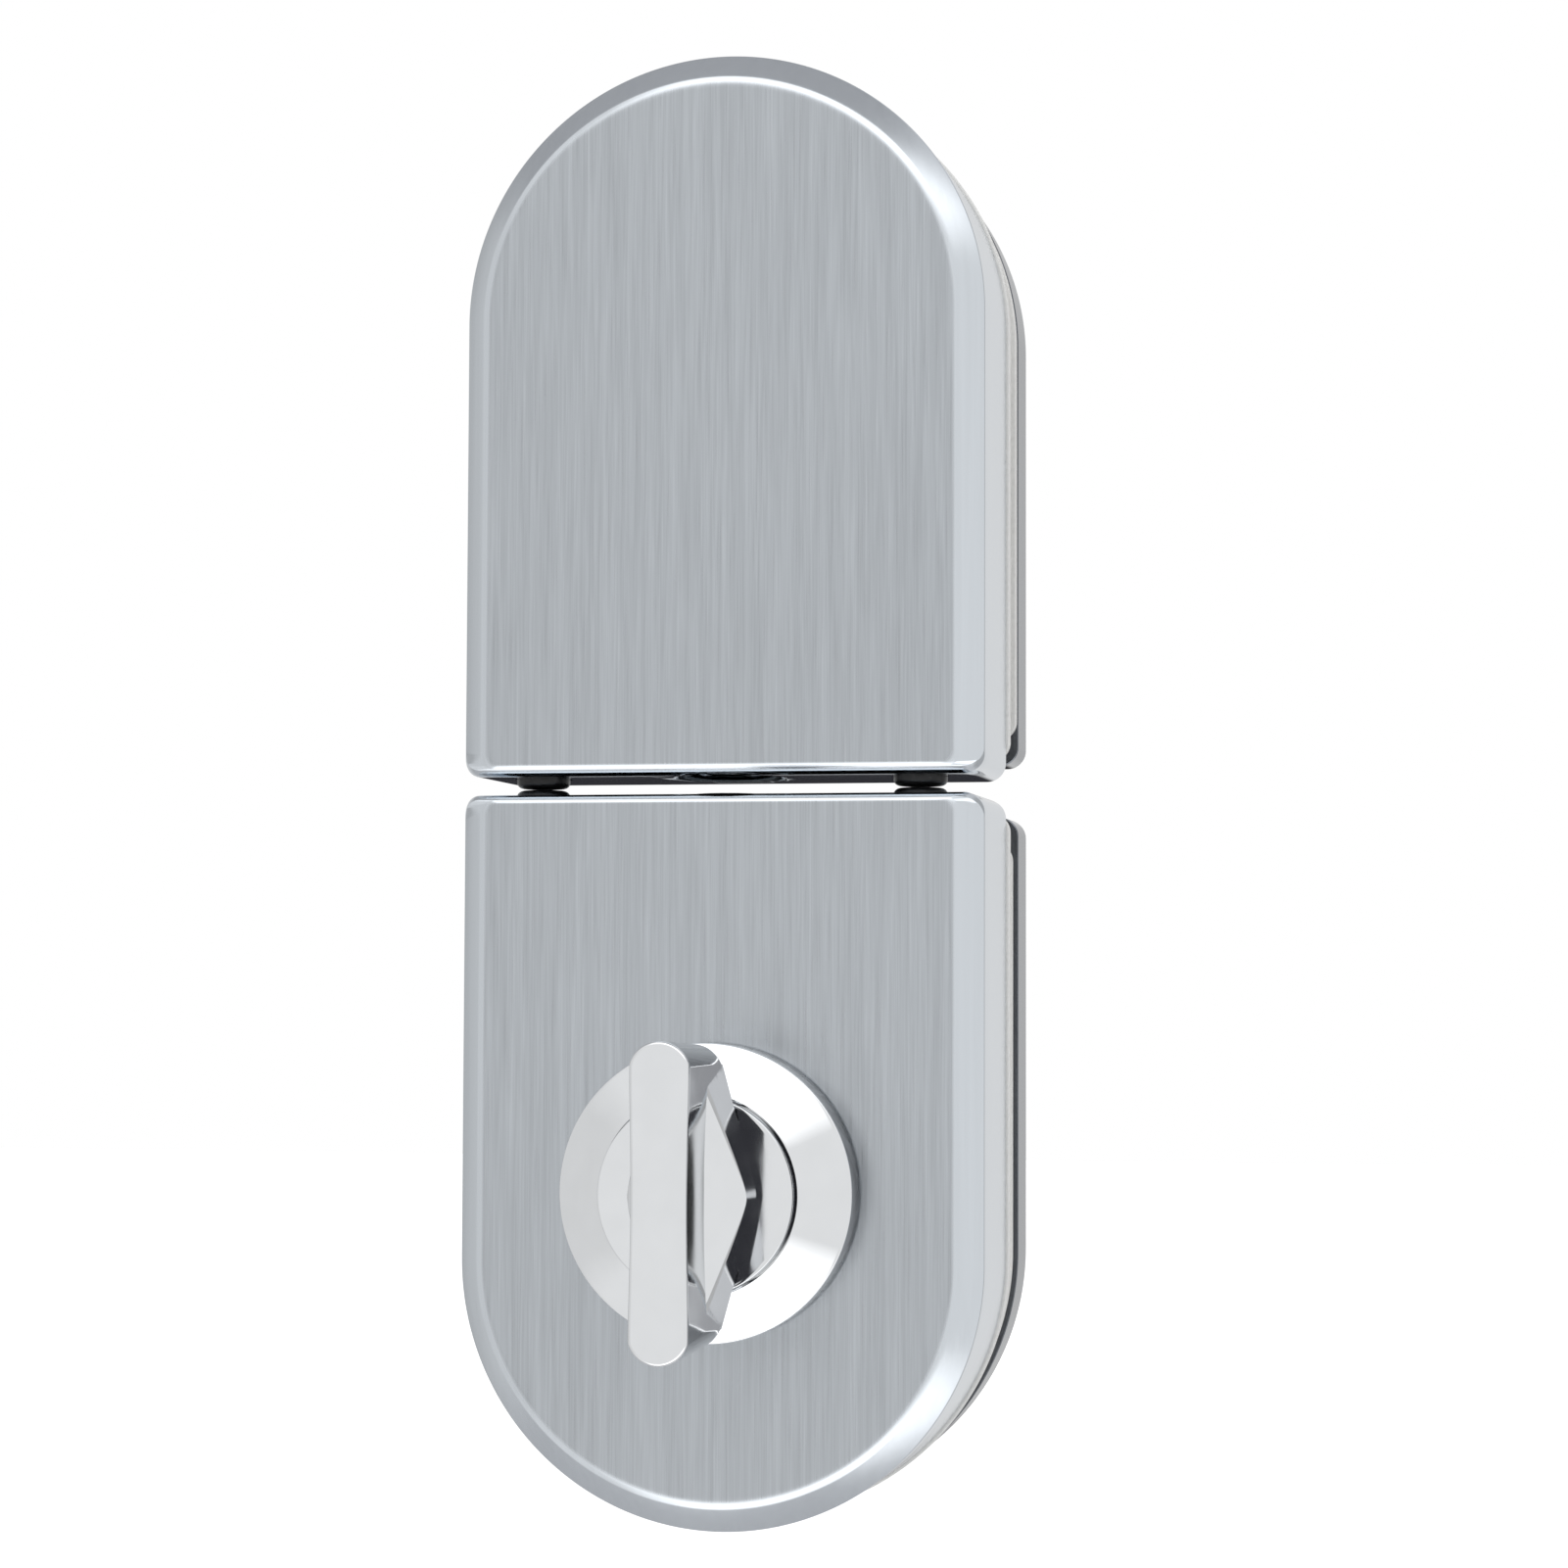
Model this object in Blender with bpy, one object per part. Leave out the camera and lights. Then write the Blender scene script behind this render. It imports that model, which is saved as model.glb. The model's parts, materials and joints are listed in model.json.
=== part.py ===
"""Two-leaf lock for frameless glass doors, with a thumb-turn on the room side.

X runs across the lock, Y runs into the door from the room side, and Z runs up.
The strike half clamps one leaf and stands above the gap, and the lock half
clamps the other and hangs below it. Each half is drawn in its own frame, which
starts on the middle of its gap end: x across, y into the door from the cover's
face, z away from the gap towards the arch. All sizes are in metres.
"""

import math

import bmesh
import bpy

# Covers: pressed shells with a straight gap end and an arched far end
COVER_WIDTH = 0.0660
HALF_LENGTH = 0.0904
LEAF_GAP = 0.0026
COVER_DEPTH = 0.0210
COVER_WALL = 0.0013
EDGE_WIDTH = 0.0039
EDGE_DEPTH = 0.0025
END_EDGE = 0.0015
CORNER_RADIUS = 0.0024
FACE_CORNER_RADIUS = 0.0016

# Clamping of the glass leaf
GLASS_THICKNESS = 0.0080
GASKET_THICKNESS = 0.0012
GASKET_LIP = 0.0004
REAR_GASKET_SETBACK = 0.0033
LOCK_REAR_MARGIN = 0.0006
STRIKE_REAR_MARGIN = 0.0001
LOCK_SETBACK = 0.0014
STRIKE_SETBACK = 0.0027
BACK_DEPTH = 0.0095
BACK_EDGE = 0.0012
CLAMP_PLATE_THICKNESS = 0.0058
BASE_THICKNESS = 0.0030

# Fasteners
CLAMP_SCREW_RADIUS = 0.0025
CLAMP_HEAD_RADIUS = 0.0046
CLAMP_HEAD_DEPTH = 0.0022
CLAMP_SCREW_REACH = 0.0105
CLAMP_SCREW_INSET = 0.0120
CLAMP_SCREW_RISE = 0.0340
CLAMP_BOSS_RADIUS = 0.0048
CLAMP_BOSS_HEIGHT = 0.0090
SOCKET_RADIUS = 0.0017
SOCKET_DEPTH = 0.0016
COVER_SCREW_RADIUS = 0.0015
COVER_HEAD_RADIUS = 0.0029
COVER_HEAD_DEPTH = 0.0013
COVER_SCREW_LENGTH = 0.0090
COVER_SCREW_INSET = 0.0130
COVER_SCREW_FROM_TOP = 0.0254
COVER_BOSS_RADIUS = 0.0036

# Bolt and what guides it
BOLT_FRONT_MARGIN = 0.00215
BOLT_PROUD = 0.0005
BOLT_TIP_EDGE = 0.0011
BOLT_HEEL_LENGTH = 0.0065
BOLT_HEEL_SPARE = 0.0005
GROOVE_WIDTH = 0.0018
GROOVE_DEPTH = 0.0006
TAIL_THICKNESS = 0.0030
TAIL_HALF_WIDTH = 0.0085
TAIL_EAR_REACH = 0.0135
TAIL_RIM = 0.0020
GUIDE_WIDTH = 0.0300
GUIDE_LENGTH = 0.0110
GUIDE_WRAP = 0.0030
GUIDE_BACK_WALL = 0.00355
RAIL_WIDTH = 0.0020
RAIL_LENGTH = 0.0185

# Thumb-turn, cam and spindle
TURN_RISE = 0.0486
TURN_LENGTH = 0.0374
TURN_WIDTH = 0.0071
TURN_HEIGHT = 0.0186
TURN_UNDERCUT = 0.0005
TURN_EDGE = 0.0004
END_ROUND = 0.52
END_DRAFT = 0.0006
SCOOP_DEPTH = 0.0006
SCOOP_REACH = 0.0140
SCOOP_SPAN = 0.9
HUB_HALF_WIDTH = 0.0076
HUB_SLOPE = 0.265
HUB_HALF_LENGTH = 0.0090
FACET_LOW = 0.0039
FACET_TOP = 0.0078
DISC_RADIUS = 0.0120
DISC_THICKNESS = 0.0019
DISC_DISH = 0.0003
NECK_RADIUS = 0.0060
NECK_TO_CAM = 0.0010
ROSETTE_RADIUS = 0.0182
ROSETTE_SIDE = 0.0056
ROSETTE_HEIGHT = 0.0096
ROSETTE_SEAT_DEPTH = 0.0006
ROSETTE_NECK_WALL = 0.0017
CLIP_SPACE = 0.0020
NUT_RADIUS = 0.0120
NUT_THICKNESS = 0.0028
CLIP_THICKNESS = 0.0008
CLIP_WIDTH = 0.0019
CLIP_GROOVE = 0.0006
SPINDLE_SIDE = 0.0056
SPINDLE_IN_CAM = 0.0032
CAM_RADIUS = 0.0110
CAM_THICKNESS = 0.0054
CRANK_RADIUS = 0.0080
CRANK_PIN_RADIUS = 0.0020
TURN_ANGLE = math.pi / 2

# Key side of the lock half
CYLINDER_RADIUS = 0.0085
CYLINDER_PROUD = 0.0016
PLUG_RADIUS = 0.0060
KEYWAY_WIDTH = 0.0016
KEYWAY_HEIGHT = 0.0080
KEYWAY_DEPTH = 0.0100
TAILPIECE_RADIUS = 0.0015
FINGER_REACH = 0.0045
FINGER_WIDTH = 0.0018
DRIVE_RADIUS = 0.0052
DRIVE_STOP_WIDTH = 0.0024
DRIVE_STOP_ANGLE = math.radians(75)
CYLINDER_RING_WIDTH = 0.0038
CYLINDER_RING_HEIGHT = 0.0019

# Strike half
STRIKE_CLEARANCE = 0.00145
LINER_WALL = 0.0027
LINER_LENGTH = 0.0164

# Buffers in the gap ends
BUFFER_RADIUS = 0.00335
BUFFER_INSET = 0.0088
BUFFER_EDGE = 0.0005
BUFFER_FLANGE = 0.0012

# Spring detent of the bolt
BALL_RADIUS = 0.0015
SPRING_WIRE = 0.00022
SPRING_TURNS = 5
SPRING_LENGTH = 0.0036
DETENT_SCREW_LENGTH = 0.0018

# Clearances: SEAT between faces that rest on each other, FIT round what
# slides or turns, and SLOT_PLAY beside the crank pin, whose rise along the
# bolt isn't quite in step with the knob's angle
SEAT = 0.0003
FIT = 0.0003
SLOT_PLAY = 0.0004
OVERLAP = 0.0006
PAST = 0.0010

# Facets
ARCH_STEPS = 32
CORNER_STEPS = 4
EDGE_STEPS = 4
ROUND_STEPS = 16
FINE_STEPS = 40
COIL_STEPS = 8

# The two halves' buffers meet in the middle of the gap
BUFFER_PROUD = (LEAF_GAP - SEAT) / 2

# Planes that follow from the sizes above, measured from the covers' faces
BASE_FRONT = COVER_DEPTH - BASE_THICKNESS
FRONT_GASKET = COVER_DEPTH + SEAT
GLASS_FRONT = FRONT_GASKET + GASKET_THICKNESS
GLASS_BACK = GLASS_FRONT + GLASS_THICKNESS
BACK_RIM = GLASS_BACK + GASKET_THICKNESS + SEAT
BACK_FACE = BACK_RIM + BACK_DEPTH
CYLINDER_BACK = BACK_FACE + CYLINDER_PROUD
RING_BACK = BACK_FACE + SEAT + CYLINDER_RING_HEIGHT
DISC_FRONT = -(ROSETTE_HEIGHT - ROSETTE_SEAT_DEPTH + SEAT + DISC_THICKNESS)
TURN_FRONT = DISC_FRONT - TURN_HEIGHT
TAIL_BACK = BASE_FRONT - SEAT
TAIL_FRONT = TAIL_BACK - TAIL_THICKNESS
CAM_BACK = TAIL_FRONT - SEAT
CAM_FRONT = CAM_BACK - CAM_THICKNESS
NECK_END = CAM_FRONT - NECK_TO_CAM
ROSETTE_NECK_END = NECK_END - CLIP_SPACE
SPINDLE_END = CAM_FRONT + SPINDLE_IN_CAM

# The bolt fills the cover's depth between its front margin and the guide's wall
BOLT_RADIUS = (TAIL_BACK - GUIDE_BACK_WALL - FIT - BOLT_FRONT_MARGIN) / 2
BOLT_DEPTH = BOLT_FRONT_MARGIN + BOLT_RADIUS
STRIKE_HOLE_RADIUS = BOLT_RADIUS + STRIKE_CLEARANCE
BOLT_THROW = 2 * CRANK_RADIUS * math.sin(TURN_ANGLE / 2)

# Places across and along the halves
BUFFER_SPREAD = COVER_WIDTH / 2 - BUFFER_INSET
CLAMP_SCREW_SPREAD = COVER_WIDTH / 2 - CLAMP_SCREW_INSET
COVER_SCREW_SPREAD = COVER_WIDTH / 2 - COVER_SCREW_INSET
COVER_SCREW_RISE = HALF_LENGTH - COVER_SCREW_FROM_TOP
INNER_END = COVER_WALL + SEAT
GUIDE_START = INNER_END + BUFFER_FLANGE + SEAT
HEEL_START = GUIDE_START + GUIDE_LENGTH + BOLT_THROW + BOLT_HEEL_SPARE
PIN_RISE = TURN_RISE + BOLT_THROW / 2
PIN_SLOT = CRANK_PIN_RADIUS + SLOT_PLAY
MIDDLE_DEPTH = (TURN_FRONT + max(CYLINDER_BACK, RING_BACK)) / 2

FINISHES = {
    "brushed_stainless": ((0.60, 0.61, 0.62), 0.32, 1.0),
    "polished_chrome": ((0.84, 0.85, 0.86), 0.07, 1.0),
    "cast_zinc": ((0.42, 0.43, 0.45), 0.48, 1.0),
    "machined_steel": ((0.55, 0.56, 0.58), 0.28, 1.0),
    "turned_brass": ((0.72, 0.56, 0.28), 0.26, 1.0),
    "white_gasket": ((0.84, 0.84, 0.82), 0.60, 0.0),
    "black_rubber": ((0.02, 0.02, 0.02), 0.50, 0.0),
    "black_acetal": ((0.05, 0.05, 0.05), 0.38, 0.0),
}


def finish(name):
    """A Principled material, made once for each finish."""
    material = bpy.data.materials.get(name)
    if material is None:
        colour, roughness, metallic = FINISHES[name]
        material = bpy.data.materials.new(name)
        material.use_nodes = True
        shader = material.node_tree.nodes["Principled BSDF"]
        shader.inputs["Base Color"].default_value = (*colour, 1.0)
        shader.inputs["Roughness"].default_value = roughness
        shader.inputs["Metallic"].default_value = metallic
        material.diffuse_color = (*colour, 1.0)
    return material


def clear_scene():
    for thing in list(bpy.data.objects):
        bpy.data.objects.remove(thing, do_unlink=True)


def empty(name, location=(0.0, 0.0, 0.0), turn=0.0, parent=None):
    """A frame for other pieces; turn is about Y."""
    frame = bpy.data.objects.new(name, None)
    frame.location = location
    frame.rotation_euler = (0.0, turn, 0.0)
    frame.parent = parent
    bpy.context.scene.collection.objects.link(frame)
    return frame


def solid_of_rings(name, rings, parent, look=None, endless=False):
    """Skins a stack of rings with equal point counts and closes both ends.

    With endless set, the last ring joins the first one instead, as round a
    tube's wall. Without a look it is a cutter or a body to be joined.
    """
    shape = bmesh.new()
    stack = [[shape.verts.new(point) for point in ring] for ring in rings]
    pairs = list(zip(stack, stack[1:]))
    if endless:
        pairs.append((stack[-1], stack[0]))
    for near, far in pairs:
        count = len(near)
        for index in range(count):
            after = (index + 1) % count
            shape.faces.new((near[index], near[after], far[after], far[index]))
    if not endless:
        shape.faces.new(stack[0])
        shape.faces.new(stack[-1])
    bmesh.ops.recalc_face_normals(shape, faces=shape.faces)
    mesh = bpy.data.meshes.new(name)
    shape.to_mesh(mesh)
    shape.free()
    mesh.shade_smooth()
    mesh.set_sharp_from_angle(angle=math.radians(35))
    piece = bpy.data.objects.new(name, mesh)
    piece.parent = parent
    bpy.context.scene.collection.objects.link(piece)
    if look is None:
        piece.hide_render = True
        piece.display_type = "WIRE"
    else:
        mesh.materials.append(finish(look))
    return piece


def ring(radius, height, centre=(0.0, 0.0), axis="Y", steps=ROUND_STEPS, phase=0.0):
    """A circle round an axis along X, Y or Z; centre is in the plane across it."""
    points = []
    for index in range(steps):
        angle = phase + 2 * math.pi * index / steps
        first = centre[0] + radius * math.cos(angle)
        second = centre[1] + radius * math.sin(angle)
        if axis == "Y":
            points.append((first, height, second))
        elif axis == "Z":
            points.append((first, second, height))
        else:
            points.append((height, first, second))
    return points


def turned(name, profile, parent, look=None, **where):
    """A turned piece from (radius, height) pairs, closed at both ends.

    A profile that ends where it starts is a ring or a tube.
    """
    hollow = profile[0] == profile[-1]
    stops = profile[:-1] if hollow else profile
    rings = [ring(radius, height, **where) for radius, height in stops]
    return solid_of_rings(name, rings, parent, look, endless=hollow)


def block(name, low, high, parent, look=None):
    """A rectangular block between two corners."""
    corners = ((low[0], low[1]), (high[0], low[1]), (high[0], high[1]), (low[0], high[1]))
    rings = [[(x, y, z) for x, y in corners] for z in (low[2], high[2])]
    return solid_of_rings(name, rings, parent, look)


def change(piece, other, operation):
    step = piece.modifiers.new(operation.lower() + "_" + other.name, "BOOLEAN")
    step.operation = operation
    step.solver = "EXACT"
    step.object = other


def cut(piece, other):
    change(piece, other, "DIFFERENCE")


def join(piece, other):
    change(piece, other, "UNION")


def arched_outline(side_inset, end_inset, corner, side_depth, end_depth):
    """One loop of an arched half: straight gap end, round corners, sides, arch.

    The insets pull the loop in from the sides and from the gap end. The depth
    runs from end_depth along the gap end to side_depth round the rest, and
    changes over within the corners.
    """
    half = COVER_WIDTH / 2 - side_inset
    centre = HALF_LENGTH - COVER_WIDTH / 2
    corners = []
    for index in range(CORNER_STEPS + 1):
        share = index / CORNER_STEPS
        angle = share * math.pi / 2
        across = half - corner + corner * math.sin(angle)
        along = end_inset + corner - corner * math.cos(angle)
        depth = end_depth + (side_depth - end_depth) * math.sin(angle) ** 2
        corners.append((across, depth, along))
    arch = []
    for index in range(ARCH_STEPS + 1):
        angle = math.pi * index / ARCH_STEPS
        arch.append((half * math.cos(angle), side_depth, centre + half * math.sin(angle)))
    mirrored = [(-across, depth, along) for across, depth, along in reversed(corners)]
    return corners + arch + mirrored


def flat_outline(inset, end_inset, depth, corner=CORNER_RADIUS):
    return arched_outline(inset, end_inset, corner, depth, depth)


def pressed_shell(name, parent, face, inward, depth, edges, setback):
    """A pressed cover: rounded edge, skirt and even wall, open at its back.

    face is the plane of its outer face and inward is +1 or -1, towards its
    open side. edges are the rounding's width and depth along the sides, and
    its size along the gap end.
    """
    side_width, side_depth, end_edge = edges
    rings = []
    for index in range(EDGE_STEPS + 1):
        angle = math.pi / 2 * index / EDGE_STEPS
        out = 1 - math.sin(angle)
        down = 1 - math.cos(angle)
        corner = FACE_CORNER_RADIUS + (CORNER_RADIUS - FACE_CORNER_RADIUS) * math.sin(angle)
        rings.append(
            arched_outline(
                side_width * out,
                setback + end_edge * out,
                corner,
                face + inward * side_depth * down,
                face + inward * end_edge * down,
            )
        )
    rim = face + inward * depth
    rings.append(flat_outline(0.0, setback, rim))
    inner_corner = CORNER_RADIUS - COVER_WALL
    inner_end = setback + COVER_WALL
    rings.append(flat_outline(COVER_WALL, inner_end, rim, inner_corner))
    inner_width = side_width - COVER_WALL
    inner_rise = side_depth - COVER_WALL
    for index in range(EDGE_STEPS, -1, -2):
        angle = math.pi / 2 * index / EDGE_STEPS
        inset = COVER_WALL + inner_width * (1 - math.sin(angle))
        level = face + inward * (COVER_WALL + inner_rise * (1 - math.cos(angle)))
        rings.append(flat_outline(inset, inner_end, level, inner_corner))
    return solid_of_rings(name, rings, parent, "brushed_stainless")


def sides():
    """The two hands that mirrored pieces come in."""
    return (("left", -1), ("right", 1))


def clamp_screw_places():
    return [(hand, sign * CLAMP_SCREW_SPREAD, CLAMP_SCREW_RISE) for hand, sign in sides()]


def cover_screw_places():
    return [(hand, sign * COVER_SCREW_SPREAD, COVER_SCREW_RISE) for hand, sign in sides()]


def front_cover(half, parent):
    """Front cover with two screw bosses inside its face and two buffer holes."""
    edges = (EDGE_WIDTH, EDGE_DEPTH, END_EDGE)
    cover = pressed_shell(half + "_cover", parent, 0.0, 1, COVER_DEPTH, edges, 0.0)
    bore_floor = COVER_DEPTH - COVER_SCREW_LENGTH - FIT
    for hand, across, along in cover_screw_places():
        place = {"centre": (across, along)}
        tag = half + "_cover_boss_" + hand
        boss_profile = (
            (COVER_BOSS_RADIUS, COVER_WALL - OVERLAP),
            (COVER_BOSS_RADIUS, BASE_FRONT - SEAT),
        )
        join(cover, turned(tag, boss_profile, parent, **place))
        bore_profile = (
            (COVER_SCREW_RADIUS + FIT, bore_floor),
            (COVER_SCREW_RADIUS + FIT, BASE_FRONT + PAST),
        )
        cut(cover, turned(tag + "_bore", bore_profile, parent, **place))
    for hand, sign in sides():
        hole_profile = (
            (BUFFER_RADIUS + FIT, -PAST),
            (BUFFER_RADIUS + FIT, COVER_WALL + PAST),
        )
        place = {"centre": (sign * BUFFER_SPREAD, BOLT_DEPTH), "axis": "Z"}
        cut(cover, turned(half + "_buffer_hole_" + hand, hole_profile, parent, **place))
    return cover


def end_hole(cover, radius, parent):
    """The round hole for the bolt through a cover's gap end."""
    profile = ((radius, -PAST), (radius, COVER_WALL + SEAT))
    place = {"centre": (0.0, BOLT_DEPTH), "axis": "Z", "steps": FINE_STEPS}
    cut(cover, turned(cover.name + "_bolt_hole", profile, parent, **place))


def base_plate(half, parent):
    """Cast plate that closes the cover's back and carries the clamp bosses."""
    inset = COVER_WALL + SEAT
    corner = CORNER_RADIUS - COVER_WALL
    rings = [flat_outline(inset, inset, level, corner) for level in (BASE_FRONT, COVER_DEPTH)]
    base = solid_of_rings(half + "_base", rings, parent, "cast_zinc")
    for hand, across, along in clamp_screw_places():
        place = {"centre": (across, along)}
        tag = half + "_clamp_boss_" + hand
        boss_top = BASE_FRONT - CLAMP_BOSS_HEIGHT
        boss_profile = (
            (CLAMP_BOSS_RADIUS - OVERLAP, boss_top),
            (CLAMP_BOSS_RADIUS, boss_top + OVERLAP),
            (CLAMP_BOSS_RADIUS, BASE_FRONT + OVERLAP),
        )
        join(base, turned(tag, boss_profile, parent, **place))
        bore_profile = (
            (CLAMP_SCREW_RADIUS + FIT, CLAMP_SCREW_REACH - FIT),
            (CLAMP_SCREW_RADIUS + FIT, COVER_DEPTH + PAST),
        )
        cut(base, turned(tag + "_bore", bore_profile, parent, **place))
    for hand, across, along in cover_screw_places():
        hole_profile = (
            (COVER_SCREW_RADIUS + FIT, BASE_FRONT - PAST),
            (COVER_SCREW_RADIUS + FIT, COVER_DEPTH - COVER_HEAD_DEPTH - FIT),
            (COVER_HEAD_RADIUS + FIT, COVER_DEPTH - FIT),
            (COVER_HEAD_RADIUS + FIT, COVER_DEPTH + PAST),
        )
        tag = half + "_cover_screw_hole_" + hand
        cut(base, turned(tag, hole_profile, parent, centre=(across, along)))
    return base


def axis_hole(piece, radius, near, far, parent):
    """A round hole on the thumb-turn's axis, for the key cylinder."""
    profile = ((radius, near), (radius, far))
    place = {"centre": (0.0, TURN_RISE), "steps": FINE_STEPS}
    cut(piece, turned(piece.name + "_axis_hole", profile, parent, **place))


def bolt_rails(base, parent):
    """Two cast rails that the bolt's flat tail runs between."""
    spans = (
        ("left", -TAIL_HALF_WIDTH - FIT - RAIL_WIDTH, -TAIL_HALF_WIDTH - FIT),
        ("right", TAIL_EAR_REACH + FIT, TAIL_EAR_REACH + FIT + RAIL_WIDTH),
    )
    rail_end = PIN_RISE + PIN_SLOT + TAIL_RIM
    for hand, low, high in spans:
        near = (low, TAIL_FRONT, rail_end - RAIL_LENGTH)
        far = (high, BASE_FRONT + OVERLAP, rail_end)
        join(base, block("rail_" + hand, near, far, parent))


def screw_with_socket(name, profile, head, parent, place):
    """A countersunk screw from its tip to its head, with a hexagon socket."""
    screw = turned(name, profile, parent, "machined_steel", centre=place)
    socket = ((SOCKET_RADIUS, head - SOCKET_DEPTH), (SOCKET_RADIUS, head + PAST))
    cut(screw, turned(name + "_socket", socket, parent, centre=place, steps=6))
    return screw


def clamp_screws(half, parent):
    """Screws from the back cover through the glass into the base's bosses."""
    head = BACK_FACE - FIT
    for hand, across, along in clamp_screw_places():
        profile = (
            (CLAMP_SCREW_RADIUS - TURN_EDGE, CLAMP_SCREW_REACH),
            (CLAMP_SCREW_RADIUS, CLAMP_SCREW_REACH + TURN_EDGE),
            (CLAMP_SCREW_RADIUS, head - CLAMP_HEAD_DEPTH),
            (CLAMP_HEAD_RADIUS, head),
        )
        name = half + "_clamp_screw_" + hand
        screw_with_socket(name, profile, head, parent, (across, along))


def cover_screws(half, parent):
    """Small screws from the base into the cover's bosses."""
    head = COVER_DEPTH - FIT
    tip = COVER_DEPTH - COVER_SCREW_LENGTH
    for hand, across, along in cover_screw_places():
        profile = (
            (COVER_SCREW_RADIUS, tip),
            (COVER_SCREW_RADIUS, head - COVER_HEAD_DEPTH),
            (COVER_HEAD_RADIUS, head),
        )
        name = half + "_cover_screw_" + hand
        turned(name, profile, parent, "machined_steel", centre=(across, along))


def gaskets(half, parent, setback, rear_margin, axis_radius):
    """A gasket on each side of the glass, with holes for what passes through."""
    layers = (
        ("_front_gasket", FRONT_GASKET, -GASKET_LIP, setback),
        ("_rear_gasket", GLASS_BACK, rear_margin, setback + REAR_GASKET_SETBACK),
    )
    for suffix, near, inset, end_inset in layers:
        far = near + GASKET_THICKNESS
        rings = [flat_outline(inset, end_inset, level) for level in (near, far)]
        gasket = solid_of_rings(half + suffix, rings, parent, "white_gasket")
        for hand, across, along in clamp_screw_places():
            profile = (
                (CLAMP_SCREW_RADIUS + SLOT_PLAY, near - PAST),
                (CLAMP_SCREW_RADIUS + SLOT_PLAY, far + PAST),
            )
            tag = half + suffix + "_hole_" + hand
            cut(gasket, turned(tag, profile, parent, centre=(across, along)))
        if axis_radius:
            axis_hole(gasket, axis_radius, near - PAST, far + PAST, parent)


def back_clamp(half, parent, setback, axis_radius):
    """The clamp plate behind the glass and the pressed cover over it."""
    inset = COVER_WALL + SEAT
    plate_back = BACK_RIM + CLAMP_PLATE_THICKNESS
    corner = CORNER_RADIUS - COVER_WALL
    levels = (BACK_RIM, plate_back)
    rings = [flat_outline(inset, setback + inset, level, corner) for level in levels]
    plate = solid_of_rings(half + "_clamp_plate", rings, parent, "cast_zinc")
    edges = (COVER_WALL + BACK_EDGE, COVER_WALL + BACK_EDGE, COVER_WALL + BACK_EDGE)
    name = half + "_back_cover"
    cover = pressed_shell(name, parent, BACK_FACE, -1, BACK_DEPTH, edges, setback)
    for hand, across, along in clamp_screw_places():
        place = {"centre": (across, along)}
        bore = (
            (CLAMP_SCREW_RADIUS + FIT, BACK_RIM - PAST),
            (CLAMP_SCREW_RADIUS + FIT, plate_back + PAST),
        )
        cut(plate, turned(plate.name + "_bore_" + hand, bore, parent, **place))
        slope = (CLAMP_HEAD_RADIUS - CLAMP_SCREW_RADIUS) / CLAMP_HEAD_DEPTH
        deep = COVER_WALL + PAST
        sink = (
            (CLAMP_HEAD_RADIUS + FIT - slope * deep, BACK_FACE - deep),
            (CLAMP_HEAD_RADIUS + FIT, BACK_FACE),
            (CLAMP_HEAD_RADIUS + FIT, BACK_FACE + PAST),
        )
        cut(cover, turned(cover.name + "_sink_" + hand, sink, parent, **place))
    if axis_radius:
        axis_hole(plate, axis_radius, BACK_RIM - PAST, plate_back + PAST, parent)
        axis_hole(cover, axis_radius, plate_back, BACK_FACE + PAST, parent)


def buffers(half, parent):
    """Rubber buffers pushed out through the gap end from inside."""
    flange_back = INNER_END + BUFFER_FLANGE
    profile = (
        (BUFFER_RADIUS - BUFFER_EDGE, -BUFFER_PROUD),
        (BUFFER_RADIUS - BUFFER_EDGE / 3, -BUFFER_PROUD + BUFFER_EDGE / 3),
        (BUFFER_RADIUS, -BUFFER_PROUD + BUFFER_EDGE),
        (BUFFER_RADIUS, INNER_END),
        (BUFFER_RADIUS + BUFFER_FLANGE, INNER_END),
        (BUFFER_RADIUS + BUFFER_FLANGE, flange_back),
    )
    for hand, sign in sides():
        place = {"centre": (sign * BUFFER_SPREAD, BOLT_DEPTH), "axis": "Z"}
        turned(half + "_buffer_" + hand, profile, parent, "black_rubber", **place)


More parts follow.
